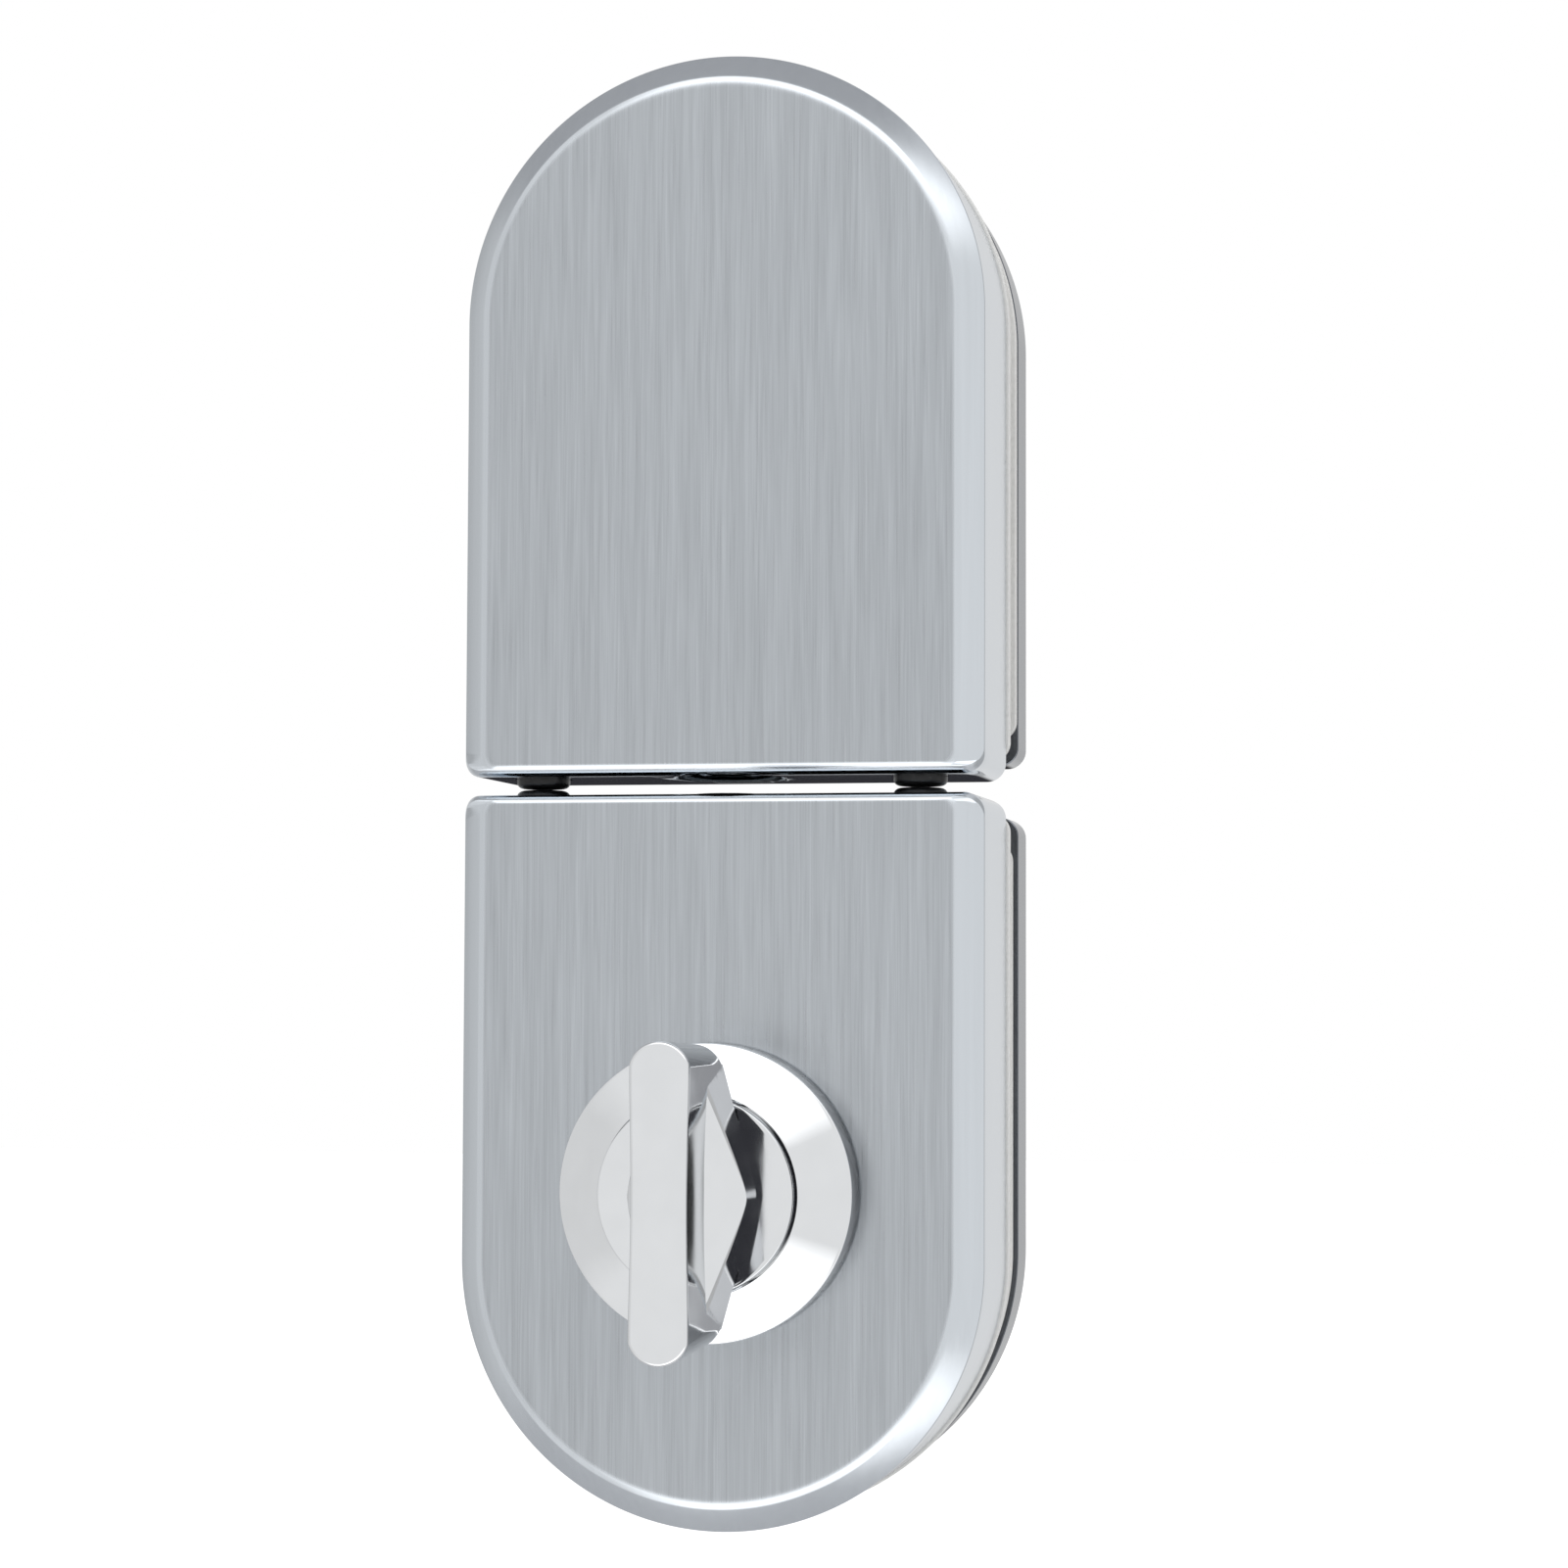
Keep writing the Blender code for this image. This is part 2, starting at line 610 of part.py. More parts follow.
def bolt(parent):
    """Round bolt with a heel and a flat tail; drawn on its own axis.

    The tail has an ear with a cross slot for the crank pin, open to a window
    that the key's tailpiece passes through, as long as the bolt's whole throw.
    """
    foot = HEEL_START + BOLT_HEEL_LENGTH
    groove = GUIDE_START + GUIDE_LENGTH / 2
    profile = [
        (BOLT_RADIUS - BOLT_TIP_EDGE, -BOLT_PROUD),
        (BOLT_RADIUS - BOLT_TIP_EDGE / 3, -BOLT_PROUD + BOLT_TIP_EDGE / 3),
        (BOLT_RADIUS, -BOLT_PROUD + BOLT_TIP_EDGE),
    ]
    for start in (groove - GROOVE_WIDTH / 2, groove + BOLT_THROW - GROOVE_WIDTH / 2):
        profile.append((BOLT_RADIUS, start))
        profile.append((BOLT_RADIUS - GROOVE_DEPTH, start + GROOVE_WIDTH / 3))
        profile.append((BOLT_RADIUS - GROOVE_DEPTH, start + 2 * GROOVE_WIDTH / 3))
        profile.append((BOLT_RADIUS, start + GROOVE_WIDTH))
    profile.append((BOLT_RADIUS, foot))
    piece = turned("bolt", profile, parent, "machined_steel", axis="Z")
    near = TAIL_FRONT - BOLT_DEPTH
    far = TAIL_BACK - BOLT_DEPTH
    heel_low = (-TAIL_HALF_WIDTH, 0.0, HEEL_START)
    heel_high = (TAIL_HALF_WIDTH, far, foot + OVERLAP)
    join(piece, block("bolt_heel", heel_low, heel_high, parent))
    window = TAILPIECE_RADIUS + 2 * FIT
    window_end = TURN_RISE + BOLT_THROW + window
    tail_low = (-TAIL_HALF_WIDTH, near, foot - OVERLAP)
    tail_high = (TAIL_HALF_WIDTH, far, window_end + TAIL_RIM)
    join(piece, block("bolt_tail", tail_low, tail_high, parent))
    ear_low = (TAIL_HALF_WIDTH - OVERLAP, near, PIN_RISE - PIN_SLOT - TAIL_RIM)
    ear_high = (TAIL_EAR_REACH, far, PIN_RISE + PIN_SLOT + TAIL_RIM)
    join(piece, block("tail_ear", ear_low, ear_high, parent))
    window_low = (-window, near - PAST, TURN_RISE - window)
    window_high = (window, far + PAST, window_end)
    cut(piece, block("tail_window", window_low, window_high, parent))
    slot_low = (window - OVERLAP, near - PAST, PIN_RISE - PIN_SLOT)
    slot_high = (CRANK_RADIUS + PIN_SLOT, far + PAST, PIN_RISE + PIN_SLOT)
    cut(piece, block("pin_slot", slot_low, slot_high, parent))
    return piece


def bolt_guide(parent):
    """Saddle behind the bolt, with a cheek on each side that wraps round its front."""
    low = (-GUIDE_WIDTH / 2, BOLT_DEPTH - GUIDE_WRAP, GUIDE_START)
    high = (GUIDE_WIDTH / 2, TAIL_BACK, GUIDE_START + GUIDE_LENGTH)
    guide = block("bolt_guide", low, high, parent, "black_acetal")
    bore = (
        (BOLT_RADIUS + FIT, GUIDE_START - PAST),
        (BOLT_RADIUS + FIT, GUIDE_START + GUIDE_LENGTH + PAST),
    )
    place = {"centre": (0.0, BOLT_DEPTH), "axis": "Z", "steps": FINE_STEPS}
    cut(guide, turned("bolt_guide_bore", bore, parent, **place))
    pocket = (
        (BALL_RADIUS + FIT, BOLT_RADIUS),
        (BALL_RADIUS + FIT, GUIDE_WIDTH / 2 + PAST),
    )
    place = {"centre": (BOLT_DEPTH, GUIDE_START + GUIDE_LENGTH / 2), "axis": "X"}
    cut(guide, turned("detent_pocket", pocket, parent, **place))


def detent(parent):
    """Ball, spring and set screw that hold the bolt at either end."""
    along = GUIDE_START + GUIDE_LENGTH / 2
    place = {"centre": (BOLT_DEPTH, along), "axis": "X"}
    middle = BOLT_RADIUS + FIT + BALL_RADIUS
    profile = []
    for index in range(1, 8):
        angle = math.pi * index / 8
        profile.append((BALL_RADIUS * math.sin(angle), middle - BALL_RADIUS * math.cos(angle)))
    turned("detent_ball", profile, parent, "machined_steel", steps=12, **place)
    start = middle + BALL_RADIUS + FIT
    coil_radius = BALL_RADIUS - SPRING_WIRE
    rings = []
    steps = SPRING_TURNS * COIL_STEPS
    for index in range(steps + 1):
        angle = 2 * math.pi * index / COIL_STEPS
        rise = start + SPRING_WIRE + SPRING_LENGTH * index / steps
        loop = []
        for corner in range(6):
            tilt = math.pi * corner / 3
            reach = coil_radius + SPRING_WIRE * math.cos(tilt)
            level = rise + SPRING_WIRE * math.sin(tilt)
            y = BOLT_DEPTH + reach * math.cos(angle)
            loop.append((level, y, along + reach * math.sin(angle)))
        rings.append(loop)
    solid_of_rings("detent_spring", rings, parent, "machined_steel")
    tip = start + 2 * SPRING_WIRE + SPRING_LENGTH + FIT
    profile = ((BALL_RADIUS, tip), (BALL_RADIUS, tip + DETENT_SCREW_LENGTH))
    turned("detent_screw", profile, parent, "machined_steel", **place)


def rosette(parent):
    """Conical rosette with a neck through the cover, and its nut inside."""
    seat = -(ROSETTE_HEIGHT - ROSETTE_SEAT_DEPTH)
    rim = DISC_RADIUS + FIT
    bore = NECK_RADIUS + FIT
    neck = bore + ROSETTE_NECK_WALL
    profile = (
        (neck, -SEAT),
        (ROSETTE_RADIUS, -SEAT),
        (ROSETTE_RADIUS, -ROSETTE_SIDE + TURN_EDGE),
        (ROSETTE_RADIUS - TURN_EDGE, -ROSETTE_SIDE),
        (rim, -ROSETTE_HEIGHT),
        (rim, seat),
        (bore, seat),
        (bore, ROSETTE_NECK_END),
        (neck, ROSETTE_NECK_END),
        (neck, -SEAT),
    )
    turned("rosette", profile, parent, "polished_chrome", steps=FINE_STEPS)
    nut_front = COVER_WALL + SEAT
    nut_profile = ((NUT_RADIUS, nut_front), (NUT_RADIUS, nut_front + NUT_THICKNESS))
    nut = turned("rosette_nut", nut_profile, parent, "turned_brass", steps=6)
    thread = ((neck + FIT, nut_front - PAST), (neck + FIT, nut_front + NUT_THICKNESS + PAST))
    cut(nut, turned("rosette_nut_bore", thread, parent, steps=FINE_STEPS))
    return neck


def turn_outline(level, inset):
    """The bar of the thumb-turn at one level: round ends and scooped sides.

    level counts from the disc's face towards the hand. The ends are arcs with
    END_ROUND of the width as radius, and draw in by END_DRAFT towards the disc.
    The scoop is deepest half way along and half way up, and runs out at
    SCOOP_REACH.
    """
    up = min(1.0, level / TURN_HEIGHT)
    end = TURN_LENGTH / 2 - inset - END_DRAFT * (1 - up)
    half = TURN_WIDTH / 2 - inset
    radius = TURN_WIDTH * END_ROUND - inset
    swing = math.asin(half / radius)
    straight = end - radius * (1 - math.cos(swing))
    height = math.sin(math.pi * up * SCOOP_SPAN)
    points = []
    side_steps = 12
    arc_steps = 10
    for index in range(side_steps):
        along = -straight + 2 * straight * index / side_steps
        dip = max(0.0, 1 - (along / SCOOP_REACH) ** 2) ** 1.5
        points.append((half - SCOOP_DEPTH * dip * height, along))
    for index in range(arc_steps):
        angle = swing * (1 - 2 * index / arc_steps)
        points.append((radius * math.sin(angle), end - radius * (1 - math.cos(angle))))
    points += [(-across, -along) for across, along in points]
    return [(across, DISC_FRONT - level, along) for across, along in points]


def hub_outline(level, half_length, tuck=0.0):
    """The wedge under the bar: widest on the axis, tapering along the bar.

    From FACET_LOW its flat facets lean in towards the bar's side, and they meet
    it at FACET_TOP.
    """
    bar = TURN_WIDTH / 2 - SCOOP_DEPTH
    lean = (HUB_HALF_WIDTH - bar) * max(0.0, level - FACET_LOW) / (FACET_TOP - FACET_LOW)
    facet = HUB_HALF_WIDTH - lean
    crease = min(lean / HUB_SLOPE, half_length * 0.98)
    tip = max(bar * 0.5, HUB_HALF_WIDTH - HUB_SLOPE * half_length)
    corner = max(crease, SEAT)
    points = [
        (tip - tuck, -half_length),
        (facet - tuck, -corner),
        (facet - tuck, corner),
        (tip - tuck, half_length),
    ]
    points += [(-across, -along) for across, along in points]
    return [(across, DISC_FRONT - level, along) for across, along in points]


def turn_knob(parent):
    """Thumb-turn: scooped bar on a wedge-shaped hub, disc and hollow neck."""
    levels = [
        (TURN_UNDERCUT, TURN_EDGE / 2),
        (TURN_UNDERCUT + TURN_EDGE / 2, 0.0),
    ]
    rows = 6
    top = TURN_HEIGHT - TURN_EDGE
    low = TURN_UNDERCUT + TURN_EDGE
    for index in range(rows + 1):
        levels.append((low + (top - low) * index / rows, 0.0))
    levels.append((TURN_HEIGHT - TURN_EDGE * 0.3, TURN_EDGE * 0.3))
    levels.append((TURN_HEIGHT, TURN_EDGE))
    rings = [turn_outline(level, inset) for level, inset in levels]
    knob = solid_of_rings("turn_knob", rings, parent, "polished_chrome")
    taper = HUB_HALF_WIDTH - TURN_WIDTH / 2 + SEAT / 10
    reach = taper / HUB_SLOPE
    lean = HUB_HALF_WIDTH - TURN_WIDTH / 2 + SCOOP_DEPTH
    full = FACET_LOW + (FACET_TOP - FACET_LOW) * taper * 0.98 / lean
    wedge_levels = (TURN_UNDERCUT, FACET_LOW, full, FACET_TOP)
    wedge = [hub_outline(level, reach) for level in wedge_levels]
    join(knob, solid_of_rings("turn_wedge", wedge, parent))
    hub_levels = (-DISC_DISH - OVERLAP, 0.0, TURN_UNDERCUT, TURN_UNDERCUT + OVERLAP)
    hub = [hub_outline(level, HUB_HALF_LENGTH, SEAT / 10) for level in hub_levels]
    join(knob, solid_of_rings("turn_hub", hub, parent))
    back = DISC_FRONT + DISC_THICKNESS
    groove = ROSETTE_NECK_END + FIT
    profile = (
        (NECK_RADIUS - TURN_EDGE, DISC_FRONT + DISC_DISH),
        (DISC_RADIUS - 2 * TURN_EDGE, DISC_FRONT + DISC_DISH / 3),
        (DISC_RADIUS - TURN_EDGE / 2, DISC_FRONT),
        (DISC_RADIUS, DISC_FRONT + TURN_EDGE / 2),
        (DISC_RADIUS, back),
        (NECK_RADIUS, back),
        (NECK_RADIUS, groove),
        (NECK_RADIUS - CLIP_GROOVE, groove),
        (NECK_RADIUS - CLIP_GROOVE, groove + CLIP_THICKNESS + FIT),
        (NECK_RADIUS, groove + CLIP_THICKNESS + FIT),
        (NECK_RADIUS, NECK_END),
    )
    join(knob, turned("turn_disc", profile, parent, steps=FINE_STEPS))
    half = SPINDLE_SIDE / 2 + FIT
    low = (-half, DISC_FRONT - FIT, -half)
    high = (half, NECK_END + PAST, half)
    cut(knob, block("spindle_bore", low, high, parent))
    inner = NECK_RADIUS - CLIP_GROOVE + FIT
    front = groove + FIT / 2
    outer = inner + CLIP_WIDTH
    clip = (
        (inner, front),
        (outer, front),
        (outer, front + CLIP_THICKNESS),
        (inner, front + CLIP_THICKNESS),
        (inner, front),
    )
    turned("knob_clip", clip, parent, "machined_steel", steps=FINE_STEPS)


def cam_and_spindle(parent):
    """Square spindle and the cam it turns; the crank pin drives the bolt.

    The pin starts half the turn's angle before the crossing of the bolt's
    axis and ends half of it beyond, so that its way along the bolt is nearly
    in step with the angle. The pocket in the cam's back holds one stop, which
    the key's finger meets only after a quarter turn, so that the knob turns
    without the key.
    """
    half = SPINDLE_SIDE / 2
    low = (-half, DISC_FRONT, -half)
    high = (half, SPINDLE_END, half)
    block("spindle", low, high, parent, "machined_steel")
    profile = (
        (CAM_RADIUS - TURN_EDGE, CAM_FRONT),
        (CAM_RADIUS, CAM_FRONT + TURN_EDGE),
        (CAM_RADIUS, CAM_BACK),
    )
    cam = turned("cam", profile, parent, "machined_steel", steps=FINE_STEPS)
    angle = TURN_ANGLE / 2
    place = (CRANK_RADIUS * math.cos(angle), CRANK_RADIUS * math.sin(angle))
    pin = ((CRANK_PIN_RADIUS, CAM_BACK - OVERLAP), (CRANK_PIN_RADIUS, TAIL_BACK - FIT))
    join(cam, turned("crank_pin", pin, parent, centre=place))
    half += FIT
    low = (-half, CAM_FRONT - PAST, -half)
    high = (half, CAM_BACK + PAST, half)
    cut(cam, block("cam_bore", low, high, parent))
    floor = SPINDLE_END + SEAT
    pocket_profile = ((DRIVE_RADIUS, floor), (DRIVE_RADIUS, CAM_BACK + PAST))
    pocket = turned("drive_pocket", pocket_profile, parent)
    low = (TAILPIECE_RADIUS + 2 * FIT, floor - PAST, -DRIVE_STOP_WIDTH / 2)
    high = (DRIVE_RADIUS + PAST, CAM_BACK + 2 * PAST, DRIVE_STOP_WIDTH / 2)
    stop = block("drive_stop", low, high, parent)
    stop.rotation_euler = (0.0, DRIVE_STOP_ANGLE, 0.0)
    cut(pocket, stop)
    cut(cam, pocket)


def key_cylinder(parent, plug_parent):
    """Key cylinder through both plates, its plug, tailpiece and back ring.

    The tailpiece ends in a finger inside the cam's pocket.
    """
    front = BASE_FRONT + SEAT
    bore = PLUG_RADIUS + FIT
    profile = (
        (bore, front),
        (CYLINDER_RADIUS, front),
        (CYLINDER_RADIUS, CYLINDER_BACK - TURN_EDGE),
        (CYLINDER_RADIUS - TURN_EDGE, CYLINDER_BACK),
        (bore, CYLINDER_BACK),
        (bore, front),
    )
    turned("key_cylinder", profile, parent, "polished_chrome", steps=FINE_STEPS)
    inner = CYLINDER_RADIUS + FIT
    outer = inner + CYLINDER_RING_WIDTH
    near = BACK_FACE + SEAT
    shoulder = near + CYLINDER_RING_HEIGHT / 2
    ring_profile = (
        (inner, near),
        (outer, near),
        (outer, shoulder),
        (outer - CYLINDER_RING_HEIGHT / 2, RING_BACK),
        (inner, RING_BACK),
        (inner, near),
    )
    turned("cylinder_ring", ring_profile, parent, "polished_chrome", steps=FINE_STEPS)
    plug_front = front + SEAT
    plug_profile = (
        (PLUG_RADIUS, plug_front),
        (PLUG_RADIUS, CYLINDER_BACK - TURN_EDGE / 2),
        (PLUG_RADIUS - TURN_EDGE / 2, CYLINDER_BACK),
    )
    plug = turned("key_plug", plug_profile, plug_parent, "turned_brass", steps=FINE_STEPS)
    low = (-KEYWAY_WIDTH / 2, CYLINDER_BACK - KEYWAY_DEPTH, -KEYWAY_HEIGHT / 2)
    high = (KEYWAY_WIDTH / 2, CYLINDER_BACK + PAST, KEYWAY_HEIGHT / 2)
    cut(plug, block("keyway", low, high, plug_parent))
    start = SPINDLE_END + 2 * SEAT
    rod = ((TAILPIECE_RADIUS, start), (TAILPIECE_RADIUS, plug_front - SEAT))
    tailpiece = turned("tailpiece", rod, plug_parent, "machined_steel")
    low = (-FINGER_WIDTH / 2, start, 0.0)
    high = (FINGER_WIDTH / 2, CAM_BACK - SEAT, FINGER_REACH)
    join(tailpiece, block("drive_finger", low, high, plug_parent))


def strike_liner(parent):
    """Open-fronted channel that takes the thrown bolt."""
    half = STRIKE_HOLE_RADIUS + LINER_WALL
    low = (-half, COVER_WALL + SEAT, INNER_END)
    high = (half, TAIL_BACK, INNER_END + LINER_LENGTH)
    liner = block("strike_liner", low, high, parent, "black_acetal")
    hollow_back = BOLT_DEPTH + STRIKE_HOLE_RADIUS
    low = (-STRIKE_HOLE_RADIUS, -PAST, -PAST)
    high = (STRIKE_HOLE_RADIUS, hollow_back, INNER_END + LINER_LENGTH - LINER_WALL)
    cut(liner, block("liner_hollow", low, high, parent))


def shared_pieces(half, parent, setback, rear_margin, axis_radius):
    gaskets(half, parent, setback, rear_margin, axis_radius)
    back_clamp(half, parent, setback, axis_radius)
    clamp_screws(half, parent)
    cover_screws(half, parent)
    buffers(half, parent)


def strike_half(frame):
    place = empty("strike_half", (0.0, 0.0, LEAF_GAP / 2), 0.0, frame)
    cover = front_cover("strike", place)
    end_hole(cover, STRIKE_HOLE_RADIUS, place)
    base_plate("strike", place)
    strike_liner(place)
    shared_pieces("strike", place, STRIKE_SETBACK, STRIKE_REAR_MARGIN, 0.0)


def lock_half(frame):
    place = empty("lock_half", (0.0, 0.0, -LEAF_GAP / 2), math.pi, frame)
    turn_place = (0.0, 0.0, TURN_RISE)
    fixed_axis = empty("rosette_axis", turn_place, 0.0, place)
    turn_axis = empty("turn_axis", turn_place, 0.0, place)
    key_axis = empty("key_axis", turn_place, 0.0, place)
    bolt_axis = empty("bolt_axis", (0.0, BOLT_DEPTH, 0.0), 0.0, place)
    hole = CYLINDER_RADIUS + FIT
    cover = front_cover("lock", place)
    end_hole(cover, BOLT_RADIUS + FIT, place)
    neck = rosette(fixed_axis)
    axis_hole(cover, neck + FIT, -PAST, COVER_WALL + PAST, place)
    base = base_plate("lock", place)
    bolt_rails(base, place)
    axis_hole(base, hole, BASE_FRONT - PAST, COVER_DEPTH + PAST, place)
    bolt(bolt_axis)
    bolt_guide(place)
    detent(place)
    turn_knob(turn_axis)
    cam_and_spindle(turn_axis)
    key_cylinder(fixed_axis, key_axis)
    shared_pieces("lock", place, LOCK_SETBACK, LOCK_REAR_MARGIN, hole)


def main():
    clear_scene()
    frame = empty("lock_frame", (0.0, -MIDDLE_DEPTH, 0.0))
    strike_half(frame)
    lock_half(frame)


main()
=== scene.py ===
"""Looks of a two-leaf glass door lock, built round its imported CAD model.

Each visible piece is a surface worked out with numpy on a grid of two
parameters, in the CAD's own frame: X across the lock, Y into the door, Z up.
The strike half stands above the gap at Z = 0 and the lock half hangs below it.
"""

import json
import math

import bpy
import numpy as np
from bpy.props import FloatProperty, PointerProperty, StringProperty
from mathutils import Matrix, Vector


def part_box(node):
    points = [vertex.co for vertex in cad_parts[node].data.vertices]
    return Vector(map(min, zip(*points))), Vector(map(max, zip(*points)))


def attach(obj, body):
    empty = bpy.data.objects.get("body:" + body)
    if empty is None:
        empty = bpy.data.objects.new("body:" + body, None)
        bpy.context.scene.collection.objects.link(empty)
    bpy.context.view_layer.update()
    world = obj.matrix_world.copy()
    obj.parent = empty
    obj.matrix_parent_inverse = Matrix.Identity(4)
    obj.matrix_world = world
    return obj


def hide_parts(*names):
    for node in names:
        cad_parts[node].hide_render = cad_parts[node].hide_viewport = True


bl_info = {
    "name": "Glass Door Lock",
    "version": (1, 0, 0),
    "blender": (4, 5, 0),
    "location": "3D View > Sidebar > Lock",
    "description": "Builds the visible pieces of a two-leaf glass door lock",
    "category": "Add Mesh",
}

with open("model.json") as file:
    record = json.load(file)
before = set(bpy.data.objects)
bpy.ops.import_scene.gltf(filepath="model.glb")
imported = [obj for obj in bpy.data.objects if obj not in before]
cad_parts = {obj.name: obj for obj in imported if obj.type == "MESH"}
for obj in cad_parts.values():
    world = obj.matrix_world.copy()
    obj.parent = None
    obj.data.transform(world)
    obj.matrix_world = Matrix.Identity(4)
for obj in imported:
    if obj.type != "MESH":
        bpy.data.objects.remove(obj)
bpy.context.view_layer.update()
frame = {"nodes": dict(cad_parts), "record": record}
NODES = frame["nodes"]


def low(node, axis):
    """The lowest X, Y or Z of a CAD node, in metres."""
    return float(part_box(node)[0]["XYZ".index(axis)])


def high(node, axis):
    """The highest X, Y or Z of a CAD node, in metres."""
    return float(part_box(node)[1]["XYZ".index(axis)])


def middle(node, axis):
    """Half way between the lowest and highest X, Y or Z of a CAD node."""
    return (low(node, axis) + high(node, axis)) / 2


# Places that follow from the CAD
FACE = low("strike_cover", "Y")
KNOB_AXIS = middle("rosette", "Z")
BOLT_DEPTH = middle("lock_buffer_left", "Y") - FACE
HALF_GAP = low("strike_cover", "Z")
HALF_LENGTH = high("strike_cover", "Z") - HALF_GAP
TURN_RISE = -KNOB_AXIS - HALF_GAP

BUFFER_SPREAD = middle("strike_buffer_right", "X")
SCREW_SPREAD = middle("strike_clamp_screw_right", "X")
SCREW_RISE = middle("strike_clamp_screw_right", "Z") - HALF_GAP

# Radius of the hole round the cylinder, in the back cover, the gaskets and the collar
COLLAR_BORE = 0.0088

# Corners between a half's sides and its gap end, and how far a cutter passes a wall
CORNER = 0.0024
SMALL_CORNER = 0.0012
PAST = 0.001

# Thumb-turn: depth of its disc from the covers' faces, and levels over it
DISC_FRONT = -0.0112
BAR_HEIGHT = 0.0186
BAR_SCOOP = 0.0006
SCOOP_REACH = 0.014
END_BEND = 0.52
END_LEAN = 0.0006
UNDERCUT = 0.0005
WEDGE_HUB = 0.0079
WEDGE_SLOPE = 0.276
WEDGE_DRAFT = 0.0875
WEDGE_CROWN = 0.0097
FACET_CREST = 0.01115
FACET_FALL = 1.10
FACET_TILT = 0.15


class LockSizes(bpy.types.PropertyGroup):
    """Sizes of the visible pieces."""

    cover_width: FloatProperty(
        name="Cover width",
        description="Width of both covers",
        default=high("strike_cover", "X") - low("strike_cover", "X"),
        unit="LENGTH",
    )
    cover_depth: FloatProperty(
        name="Cover depth",
        description="From a cover's face to its open back",
        default=high("strike_cover", "Y") - low("strike_cover", "Y"),
        unit="LENGTH",
    )
    cover_wall: FloatProperty(
        name="Cover wall",
        description="Thickness of the pressed sheet",
        default=0.0013,
        unit="LENGTH",
    )
    edge_width: FloatProperty(
        name="Edge width",
        description="Width of the covers' rounded edge, seen from the front",
        default=0.0040,
        unit="LENGTH",
    )
    edge_depth: FloatProperty(
        name="Edge depth",
        description="Depth of the covers' rounded edge, seen from the side",
        default=0.0030,
        unit="LENGTH",
    )
    end_edge: FloatProperty(
        name="Gap end edge",
        description="Rounding of the covers' edge along the gap",
        default=0.0017,
        unit="LENGTH",
    )
    turn_length: FloatProperty(
        name="Thumb-turn length",
        description="Length of the thumb-turn's bar",
        default=high("turn_knob", "Z") - low("turn_knob", "Z"),
        unit="LENGTH",
    )
    turn_width: FloatProperty(
        name="Thumb-turn width",
        description="Width of the thumb-turn's bar at its round ends",
        default=0.0071,
        unit="LENGTH",
    )
    rosette_radius: FloatProperty(
        name="Rosette radius",
        description="Radius of the rosette's straight side",
        default=(high("rosette", "X") - low("rosette", "X")) / 2,
        unit="LENGTH",
    )


class LockFinishes(bpy.types.PropertyGroup):
    """Colours of the finishes, as sRGB hex values."""

    stainless: StringProperty(
        name="Stainless",
        description="Brushed stainless steel sheet",
        default="C3C8CD",
    )
    chrome: StringProperty(
        name="Chrome",
        description="Polished chromium plating",
        default="F3F5F7",
    )
    gasket: StringProperty(
        name="Gasket",
        description="White elastomer sheet",
        default="F4F4F2",
    )
    rubber: StringProperty(
        name="Rubber",
        description="Black moulded rubber",
        default="1B1B1C",
    )
    steel: StringProperty(
        name="Steel",
        description="Turned and nickel-plated steel",
        default="B9BBBE",
    )
    brass: StringProperty(
        name="Brass",
        description="Turned brass",
        default="C9A968",
    )


def sizes():
    """The sizes that the panel shows."""
    return bpy.context.scene.lock_sizes


def finishes():
    """The colours that the panel shows."""
    return bpy.context.scene.lock_finishes


def linear(code):
    """An sRGB hex value as linear red, green, blue and alpha."""
    values = [int(code[index : index + 2], 16) / 255 for index in (0, 2, 4)]
    curve = [v / 12.92 if v <= 0.04045 else ((v + 0.055) / 1.055) ** 2.4 for v in values]
    return (*curve, 1.0)


def fill(tree, node, sockets):
    """Gives each socket its value, or links it to another node's output."""
    for name, value in sockets.items():
        if isinstance(value, bpy.types.NodeSocket):
            tree.links.new(value, node.inputs[name])
        else:
            node.inputs[name].default_value = value


def add(tree, kind, sockets=None, settings=None, output=0, stops=()):
    """Adds one node and returns one of its outputs.

    Stops are a ramp's (position, grey) pairs, in rising order.
    """
    made = tree.nodes.new(kind)
    for name, value in (settings or {}).items():
        setattr(made, name, value)
    fill(tree, made, sockets or {})
    if stops:
        elements = made.color_ramp.elements
        elements.remove(elements[-1])
        elements[0].position = stops[0][0]
        for position, _ in stops[1:]:
            elements.new(position)
        for element, (_, grey) in zip(elements, stops):
            element.color = (grey, grey, grey, 1.0)
    return made.outputs[output]


def start_material(name):
    """A fresh material with its tree and its Principled shader."""
    material = bpy.data.materials.new(name)
    material.use_nodes = True
    tree = material.node_tree
    return material, tree, tree.nodes["Principled BSDF"]


def streaks(tree, across, along, detail):
    """Noise drawn out along Z: across and along are a streak's size in metres."""
    where = add(tree, "ShaderNodeTexCoord", output="Object")
    scale = (1 / across, 1 / across, 1 / along)
    drawn = add(tree, "ShaderNodeMapping", {"Vector": where, "Scale": scale})
    sockets = {"Vector": drawn, "Scale": 1.0, "Detail": detail, "Roughness": 0.6}
    return add(tree, "ShaderNodeTexNoise", sockets)


def tint(tree, factor, colour, darker, lighter):
    """The colour, scaled between two shares of itself by the factor."""
    stops = ((0.3, darker), (0.7, lighter))
    shade = add(tree, "ShaderNodeValToRGB", {"Fac": factor}, stops=stops)
    settings = {"data_type": "RGBA", "blend_type": "MULTIPLY"}
    return add(tree, "ShaderNodeMix", {"Factor": 1.0, 6: shade, 7: colour}, settings, 2)


